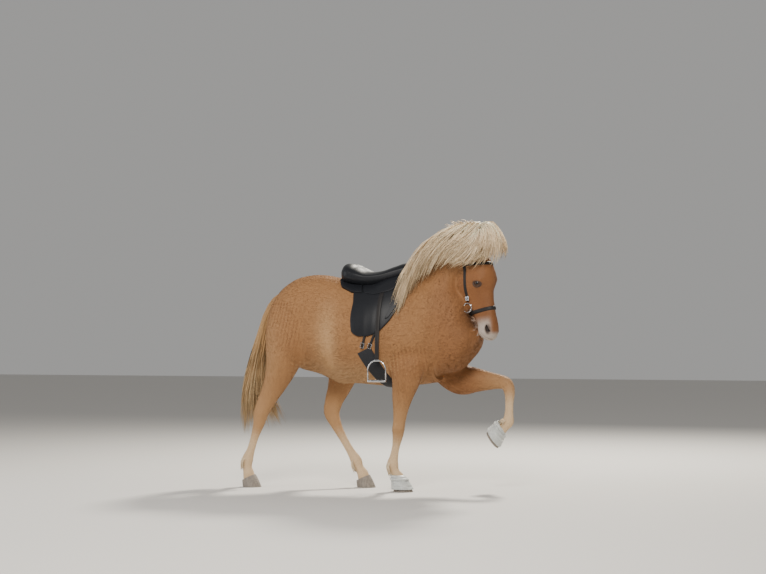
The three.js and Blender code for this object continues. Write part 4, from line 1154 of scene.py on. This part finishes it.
def boot(foot, rows=72):
    share = np.linspace(0, 1, rows)[:, None]
    ribs = RIB_HIGH * (0.5 - 0.5 * np.cos(share * RIBS * 2 * math.pi)) ** 1.5
    loop = np.concatenate([boot_round(share, ribs), boot_round(share, -BOOT_WALL)[::-1]])
    return rings(from_foot(loop, foot), closed=True)


def boot_strap(foot):
    edge = ((3.2, 88), (6.6, 87), (7.0, 80), (6.6, 73), (3.2, 72))
    loop = [boot_round((BOOT_HIGH - z) / (BOOT_HIGH - BOOT_LOW), out) for out, z in edge]
    return rings(from_foot(np.array(loop), foot), closed=True)


for name in ("near_fore", "far_fore"):
    piece("boot_" + name, boot(FEET[name]), rubber_material, [name + "_boot"])
    piece("boot_strap_" + name, boot_strap(FEET[name]), rubber_material, [name + "_boot"])

# Fetlock hair: short strands behind each fetlock, hanging over the heel.
# Fine cream hair, rooted along the back of the joint.
for name, stations in LEGS.items():
    shares = share_of(stations, np.array([9.7, 10.2, 10.8, 11.5]))
    here, along, forward, left = sections(stations, shares)
    rows = []
    for turn in (-1.15, -0.5, 0, 0.5, 1.15):
        c, s = math.cos(math.pi + turn), math.sin(math.pi + turn)
        out = c * here[:, 4:5] * forward + s * here[:, 5:6] * left
        grow = np.array([-6, 4, 8, 10 - 5 * abs(turn)])[:, None]
        rows.append(here[:, :3] + out + unit(out) * grow)
    strands("feather_" + name, np.array(rows), 260, [name + "_pastern"], 3.4, 1.3,
            3.5, 2.5, 0, feather_tone, clump=12)

# Saddle: a deep seat between pommel and cantle, with a skirt and a long flap on each side.
# Black leather; panels are shaped over the back and fastened under the seat.
# Every table of a side outline is x, z in millimetres.
SEAT = [
    [-432, 0, 1385, 52, 60, 90, 2.2],
    [-400, 0, 1385, 74, 70, 145, 2.3],
    [-340, 0, 1372, 66, 70, 160, 2.3],
    [-250, 0, 1358, 44, 70, 150, 2.3],
    [-150, 0, 1368, 40, 70, 128, 2.3],
    [-60, 0, 1392, 46, 70, 104, 2.2],
    [10, 0, 1405, 50, 70, 82, 2.2],
    [44, 0, 1402, 34, 60, 60, 2],
]
leather_material = grained("leather", 0.42, 300, 1, 0.0004, 0.25, colour=(0.012, 0.013, 0.016))
trunk_verts, trunk_faces = loft(TORSO, 96, 160, -COAT_DEPTH, BODY_SWELLS + EXTRA_BODY)
trunk = BVHTree.FromPolygons(trunk_verts.tolist(), trunk_faces)


def reach_skin(centre, ways, onto=surface):
    # Points where rays from centres leave the skin.
    hits = np.empty(ways.shape)
    for i in np.ndindex(*ways.shape[:-1]):
        way = Vector(ways[i])
        origin = Vector(centre[i])
        spot = origin + way * 200
        for _ in range(6):
            met, facing, _, _ = onto.ray_cast(origin, way)
            if met is None:
                break
            spot = met
            if facing.dot(way) > 0:
                break
            origin = met + way * 0.5
        hits[i] = spot
    return hits


def rounded(outline, count, ease=3):
    # Points evenly along a closed outline whose corners are eased.
    line = np.array(outline + outline[:1], float)
    run = np.concatenate([[0], np.cumsum(np.linalg.norm(np.diff(line, axis=0), axis=1))])
    s = np.linspace(0, run[-1], count, endpoint=False)
    loop = np.stack([np.interp(s, run, line[:, k]) for k in (0, 1)], -1)
    for _ in range(ease):
        loop = loop * 0.5 + (np.roll(loop, 1, 0) + np.roll(loop, -1, 0)) * 0.25
    return loop


def panel(outline, side, low, high, count=120, rows=22):
    # A panel over the horse's side: from low to high millimetres above the skin, edges rounded.
    loop = rounded(outline, count)
    middle = loop.mean(0)
    share = np.concatenate([np.linspace(0.02, 0.97, rows), [0.985, 0.995, 1.0]])
    flat = middle + (loop[None] - middle) * share[:, None, None]
    crest = np.interp(flat[..., 0], back_x, back_z) - 7
    level = np.minimum(flat[..., 1], crest)
    centre = np.stack([flat[..., 0], np.zeros(level.shape), level], -1)
    ways = np.broadcast_to(np.array([0.0, side, 0.0]), centre.shape)
    skin_hit = reach_skin(centre, ways, trunk)
    # Panels thicken square to the trunk, whose surface faces away from its middle line.
    away = unit((skin_hit - (0, 0, 1000)) * (0, 1 / 250**2, 1 / 315**2))
    edge = np.sqrt(np.clip(1 - ((share - 0.97) / 0.03).clip(0, 1) ** 2, 0, 1))[:, None]
    seam = -1.0 * bell(share, 0.94, 0.008)[:, None]
    middle_high = (low + high) / 2
    top = skin_hit + away * (middle_high + (high - middle_high) * edge + seam)[..., None]
    under = skin_hit + away * (middle_high - (middle_high - low) * edge)[..., None]
    return rings(np.concatenate([top, under[-2::-1]]))


back_x = np.linspace(-500, 120, 32)
along_back = np.stack([back_x, np.zeros(32), np.full(32, 1000.0)], -1)
back_z = reach_skin(along_back, np.tile([0.0, 0.0, 1.0], (32, 1)), trunk)[:, 2]
FLAP = [
    (50, 1330), (52, 1290), (16, 1180), (-45, 1078), (-100, 1018), (-170, 984), (-245, 982),
    (-288, 1008), (-300, 1100), (-296, 1200), (-318, 1262), (-300, 1330), (-120, 1345),
]
REAR_PANEL = [(-250, 1250), (-330, 1258), (-405, 1292), (-436, 1338), (-420, 1352), (-300, 1352)]
SKIRT = [(40, 1400), (48, 1380), (16, 1310), (-60, 1262), (-160, 1240), (-235, 1250),
         (-272, 1296), (-300, 1350), (-260, 1372), (-120, 1380)]
KNEE_ROLL = [(36, 1300), (6, 1190), (-50, 1096), (-74, 1084), (-60, 1120), (-22, 1200), (6, 1300)]
saddle_parts = []
for side in (-1, 1):
    saddle_parts.append(panel(FLAP, side, 5, 12))
    saddle_parts.append(panel(REAR_PANEL, side, 2, 20))
    saddle_parts.append(panel(KNEE_ROLL, side, 8, 17, count=80, rows=12))
    saddle_parts.append(panel(SKIRT, side, 9, 18))
seat_points, here, along = loft_points(SEAT, 72, 90)
# A welt round the edge of the seat and a shallow dip along its middle.
angle = np.arange(72) / 72 * 2 * math.pi
welt = 3 * bell(np.abs(np.sin(angle)), 0.98, 0.03)[None]
dip = -6 * np.exp(-((np.sin(angle) / 0.3) ** 2))[None] * (np.cos(angle) > 0)[None]
grow = np.broadcast_to(welt + dip, seat_points.shape[:2])
seat_points = seat_points + unit(seat_points - here[:, None, :3]) * grow[..., None]
saddle_parts.append(rings(seat_points))
saddle = piece("saddle_leather", merged(saddle_parts), leather_material, ["saddle"])

# Small steel rings and their plates on each side of the pommel.
# Bent wire, held by small plates.
steel_material = node_material("steel", 0.22, 1.0, (0.62, 0.63, 0.65))[0]


def torus(radius, thick, centre, axis_a, axis_b, around=40, section=10):
    turn = np.arange(around) / around * 2 * math.pi
    way = np.cos(turn)[:, None] * axis_a + np.sin(turn)[:, None] * axis_b
    side = np.cross(axis_a, axis_b)
    small = np.arange(section) / section * 2 * math.pi
    points = centre + way[:, None] * (radius + thick * np.cos(small))[None, :, None]
    points = points + (thick * np.sin(small))[None, :, None] * side
    return rings(points, closed=True)


def block(centre, size, axes=np.eye(3), round_by=0.25):
    # A softly rounded box: a superellipsoid along three axes.
    polar = np.linspace(0, math.pi, 16)[1:-1]
    turn = np.arange(28) / 28 * 2 * math.pi

    def power(v):
        return np.sign(v) * np.abs(v) ** round_by

    x = power(np.outer(np.sin(polar), np.ones(28))) * power(np.cos(turn))[None]
    y = power(np.outer(np.sin(polar), np.ones(28))) * power(np.sin(turn))[None]
    z = np.outer(power(np.cos(polar)), np.ones(28))
    grid = np.stack([x, y, z], -1) * (np.array(size) / 2)
    up = np.array([0, 0, size[2] / 2]) @ axes
    return rings(grid @ axes + centre, centre + up, centre - up)


ring_parts = []
for side in (-1, 1):
    for x, z in ((22, 1372), (-392, 1322)):
        hub = np.array([[x, 0.0, 1020.0]])
        turn = min((z - 1020) / 330, 0.97) * math.pi / 2
        way = np.array([[0.0, side * math.cos(turn), math.sin(turn)]])
        spot = reach_skin(hub, way)[0] + way[0] * 24
        down = unit(np.array([0, side * math.sin(turn), -math.cos(turn)]))
        ring_parts.append(torus(13, 2.0, spot + down * 6, np.array([1.0, 0, 0]), down))
        ring_parts.append(block(spot - down * 10, (16, 9, 12), np.array([[1.0, 0, 0], down, way[0]])))
piece("saddle_rings", merged(ring_parts), steel_material, ["saddle"])


def band(hub, axis, width, low, high, start, end, steps, on_head=False, ribs=0, closed=False,
         onto=surface, longest=(400, 400)):
    # A strap in the plane of Y and a side view direction, from skin plus low to skin plus high.
    # hub and axis are x, z; angles run from the axis towards +Y, in degrees.
    hub, axis = np.array(hub, float), unit(np.array(axis, float))
    cross = np.array([-axis[1], axis[0]])
    turn = np.radians(np.linspace(start, end, steps, endpoint=not closed))
    section = np.array([-0.5, -0.47, -0.4, -0.3, -0.2, -0.1, 0, 0.1, 0.2, 0.3, 0.4, 0.47, 0.5])
    crown = (1 - (np.abs(section) / 0.5) ** 6) * 0.85 + 0.15
    crown = crown - (0.12 * (np.cos(section * math.pi * 2 * ribs) < 0) if ribs else 0)
    flat = hub + cross * (section * width)[:, None]
    centre = np.stack([flat[:, 0], np.zeros(len(flat)), flat[:, 1]], -1)
    centre = np.broadcast_to(centre[None], (steps, len(section), 3)).copy()
    way = np.stack([axis[0] * np.cos(turn), np.sin(turn), axis[1] * np.cos(turn)], -1)
    ways = np.broadcast_to(way[:, None], centre.shape).copy()
    if on_head:
        centre, ways = from_head(centre), ways @ HEAD_AXES.T
    hits = reach_skin(centre, ways, onto)
    reach = np.einsum("ijk,ijk->ij", hits - centre, ways)
    # A ray that runs on through the neck is cut short, so that the strap ends in the throat.
    reach = np.minimum(reach, np.interp(np.cos(turn), (-1, 1), longest)[:, None])
    padded = np.pad(reach, ((1, 1), (0, 0)), "wrap" if closed else "edge")
    reach = np.maximum(reach, (padded[:-2] + padded[1:-1] + padded[2:]) / 3)
    top = centre + ways * (reach + low + (high - low) * crown)[..., None]
    under = centre + ways * (reach + low)[..., None]
    loop = np.concatenate([top, under[:, ::-1]], axis=1)
    return rings(loop, closed=closed)


# Girth: a broad padded belly band, ribbed along its length, with two billets up each side.
# Webbing and leather; the billets run up under the flaps to their buckles.
web_material = grained("web", 0.85, 500, 1, 0.0006, 0.3, colour=(0.025, 0.026, 0.03))
strap_material = grained("strap", 0.5, 300, 1, 0.0003, 0.2, colour=(0.02, 0.018, 0.018))
girth_band = band((-250, 985), (0.44, -0.897), 98, 1.5, 12, -70, 70, 90, ribs=3, onto=trunk)
piece("girth_band", girth_band, web_material, ["girth"])
billet_parts = []
buckle_parts = []
for side in (-1, 1):
    for (x0, z0), (x1, z1) in (((-182, 1040), (-216, 905)), ((-118, 1040), (-172, 900))):
        t = np.linspace(0, 1, 14)[:, None]
        line = np.array([x0, z0]) * (1 - t) + np.array([x1, z1]) * t
        across = unit(np.array([z1 - z0, x0 - x1], float))
        cols = np.array([-8, -7, 0, 7, 8.0])
        flat = line[:, None] + cols[None, :, None] * across
        centre = np.stack([flat[..., 0], np.zeros(flat.shape[:2]), flat[..., 1]], -1)
        ways = np.broadcast_to(np.array([0.0, side, 0.0]), centre.shape).copy()
        hits = reach_skin(centre, ways, trunk)
        thick = np.array([4, 7, 7, 7, 4.0])[None, :, None]
        loop = np.concatenate([hits + ways * thick, (hits + ways * 2.0)[:, ::-1]], axis=1)
        billet_parts.append(rings(loop))
        spot = hits[11, 2] + ways[11, 2] * 10
        axes = np.array([[across[0], 0, across[1]], [-across[1], 0, across[0]], [0, 1.0, 0]])
        buckle_parts += [block(spot + axes[1] * off, (26, 3, 4), axes) for off in (-15, 15)]
        buckle_parts += [block(spot + axes[0] * off, (3, 32, 4), axes) for off in (-12, 12)]
piece("billets", merged(billet_parts), strap_material, ["girth"])
piece("girth_buckles", merged(buckle_parts), steel_material, ["girth"])

# Stirrups: a leather that hangs down over each flap, doubled, and an iron at its end.
# Black leather with a stitched edge; polished steel with a ribbed tread.
STIRRUP = {"x": STIRRUP_X, "top": 1262, "low": 838, "out": 292}
fall = np.linspace(STIRRUP["top"], STIRRUP["low"] - 4, 30)
for name, side in SIDES.items():
    # The leather comes out under the skirt, lies on the flap and hangs plumb below it.
    centre = np.stack([np.full(30, STIRRUP["x"]), np.zeros(30), fall], -1)
    hits = reach_skin(centre, np.broadcast_to(np.array([0.0, side, 0.0]), centre.shape), trunk)
    lift = 13 + 6 * smooth(STIRRUP["top"] - 10, STIRRUP["top"] - 45, fall)
    out = np.maximum.accumulate(np.abs(hits[:, 1]) + lift)
    out = out + (STIRRUP["out"] - out) * smooth(1010, 930, fall)
    path = np.stack([out, fall], -1)
    half = [(-13, -2.4), (-12.4, -3), (12.4, -3), (13, -2.4)]
    section = np.array(half + [(-x, -y) for x, y in half])
    points = np.empty((30, 8, 3))
    points[..., 0] = STIRRUP["x"] + section[:, 0]
    points[..., 1] = side * (path[:, :1] + section[:, 1])
    points[..., 2] = path[:, 1:]
    piece("stirrup_leather_" + name, rings(points), strap_material, ["leather_" + name])
    # The iron: an arch of even bar, wider at the foot, and a tread with ribs.
    top, low, half = STIRRUP["low"], STIRRUP["low"] - 142, 60
    turn = np.linspace(-0.15, math.pi + 0.15, 40)
    arch = np.stack([np.cos(turn) * half, top - 68 + np.sin(turn) * 63], -1)
    arch = np.concatenate([[(half - 1, low + 8)], arch, [(-half + 1, low + 8)]])
    way = unit(np.gradient(arch, axis=0))
    small = np.arange(12) / 12 * 2 * math.pi
    ring = np.empty((len(arch), 12, 3))
    width = 4.2 + 1.4 * smooth(-100, 0, -(arch[:, 1] - low - 60))
    ring[..., 0] = STIRRUP["x"] + arch[:, :1] - way[:, 1:] * np.cos(small) * 4.3
    ring[..., 2] = arch[:, 1:] + way[:, :1] * np.cos(small) * 4.3
    ring[..., 1] = side * STIRRUP["out"] + np.sin(small)[None] * width[:, None]
    iron_parts = [rings(ring)]
    mid = np.array([STIRRUP["x"], side * STIRRUP["out"], low + 6.5])
    iron_parts.append(block(mid, (124, 33, 12), round_by=0.35))
    eye_of_iron = np.array([STIRRUP["x"], side * STIRRUP["out"], top - 7])
    iron_parts.append(block(eye_of_iron, (34, 11, 12), round_by=0.4))
    for k in range(-5, 6):
        iron_parts.append(block(mid + (k * 9, 0, 6.2), (4, 27, 2.4)))
    piece("stirrup_iron_" + name, merged(iron_parts), steel_material, ["iron_" + name])

# Bridle: headpiece with cheek straps, brow band, nose band, and a ring bit.
# Narrow black straps shaped to the head, with small steel buckles.
bridle_parts = [
    band((-52, -140), (0.06, 1), 20, 0.8, 4.6, -160, 160, 130, on_head=True),
    band((-30, -80), (1, -0.03), 19, 0.8, 4.4, -100, 100, 70, on_head=True),
]
piece("bridle_straps", merged(bridle_parts), strap_material, ["bridle"])
nose_strap = band((-8, -378), (1, 0.14), 24, 0.8, 6.5, 0, 360, 90, on_head=True, closed=True,
                  longest=(85, 115))
piece("noseband_strap", nose_strap, strap_material, ["noseband"])
BIT = {"x": -72, "y": 63, "z": -350, "radius": 29, "bar": 3.6}
for name, side in SIDES.items():
    a = math.radians(-9 * side)
    turned = np.array([math.cos(a), math.sin(a), 0.0])
    centre = from_head(np.array([BIT["x"], BIT["y"] * side, BIT["z"]], float))
    axis_a, axis_b = HEAD_AXES @ turned, HEAD_AXES @ np.array([0, 0, 1.0])
    bit_parts = [torus(BIT["radius"], BIT["bar"], centre, axis_a, axis_b, 56, 12)]
    bar = from_head(np.array([BIT["x"] + 26, (BIT["y"] - 8) * side, BIT["z"] - 14], float))
    bit_parts.append(block(bar, (14, 26, 14), HEAD_AXES.T, 0.6))
    piece("bit_ring_" + name, merged(bit_parts), steel_material, ["bit_" + name])
    for tag, (x, z) in (("cheek", (-60, -292)), ("nose", (-84, -372))):
        hub = from_head(np.array([[x, 0, z]], float))
        way = (HEAD_AXES @ np.array([0, side, 0.0]))[None]
        hit = reach_skin(hub, way)[0]
        axes = np.array([HEAD_AXES @ (1, 0, 0), HEAD_AXES @ (0, 0, 1), HEAD_AXES @ (0, 1, 0)])
        spot = hit + way[0] * 6
        parts = [block(spot + axes[1] * off, (24, 3, 4), axes) for off in (-11, 11)]
        parts += [block(spot + axes[0] * off, (3, 25, 4), axes) for off in (-11, 11)]
        parts += [block(hit + way[0] * 7, (3, 24, 3), axes)]
        piece("buckle_" + tag + "_" + name, merged(parts), steel_material, ["bridle"])

# Room: a pale floor, a soft key light, a fill and a rim light, and a camera.
# The camera stands low and far off, at the angle from which the horse was photographed.
FLOOR = 30
floor_mesh = bpy.data.meshes.new("floor")
corners = [(-FLOOR, -FLOOR, 0), (FLOOR, -FLOOR, 0), (FLOOR, FLOOR, 0), (-FLOOR, FLOOR, 0)]
floor_mesh.from_pydata(corners, [], [(0, 1, 2, 3)])
floor = bpy.data.objects.new("floor", floor_mesh)
bpy.context.scene.collection.objects.link(floor)
floor_material = node_material("floor", 0.9, 0.0, (0.62, 0.6, 0.57))[0]
floor_mesh.materials.append(floor_material)


def area_light(name, place, aim, size, power, tint):
    data = bpy.data.lights.new(name, "AREA")
    data.shape = "DISK"
    data.size = size
    data.energy = power
    data.color = tint
    lamp = bpy.data.objects.new(name, data)
    lamp.location = place
    lamp.rotation_euler = (Vector(aim) - Vector(place)).to_track_quat("-Z", "Y").to_euler()
    bpy.context.scene.collection.objects.link(lamp)
    return lamp


area_light("key", (1.6, -6.0, 4.8), (0.1, 0, 1.0), 2.4, 480, (1.0, 0.96, 0.9))
area_light("sun", (0.5, 4.4, 5.0), (0.2, 0, 1.2), 1.0, 800, (1.0, 0.95, 0.84))
area_light("fill", (-4.5, -3.0, 2.4), (0, 0, 0.9), 3.0, 90, (0.95, 0.97, 1.0))
world = bpy.data.worlds.new("room")
world.use_nodes = True
world.node_tree.nodes["Background"].inputs["Color"].default_value = (0.86, 0.85, 0.83, 1)
world.node_tree.nodes["Background"].inputs["Strength"].default_value = 0.42
bpy.context.scene.world = world

IMAGE_WIDE = 766
FOCAL = 1670
HORIZON_OFF = 53
CAMERA_TURN = math.radians(20.5)
CAMERA_PLACE = (3.8381, -10.0832, 0.96)
camera_data = bpy.data.cameras.new("camera")
camera_data.sensor_width = 36
camera_data.lens = camera_data.sensor_width * FOCAL / IMAGE_WIDE
camera = bpy.data.objects.new("camera", camera_data)
camera.location = CAMERA_PLACE
camera.rotation_euler = (math.pi / 2 + math.atan(HORIZON_OFF / FOCAL), 0, CAMERA_TURN)
bpy.context.scene.collection.objects.link(camera)
bpy.context.scene.camera = camera
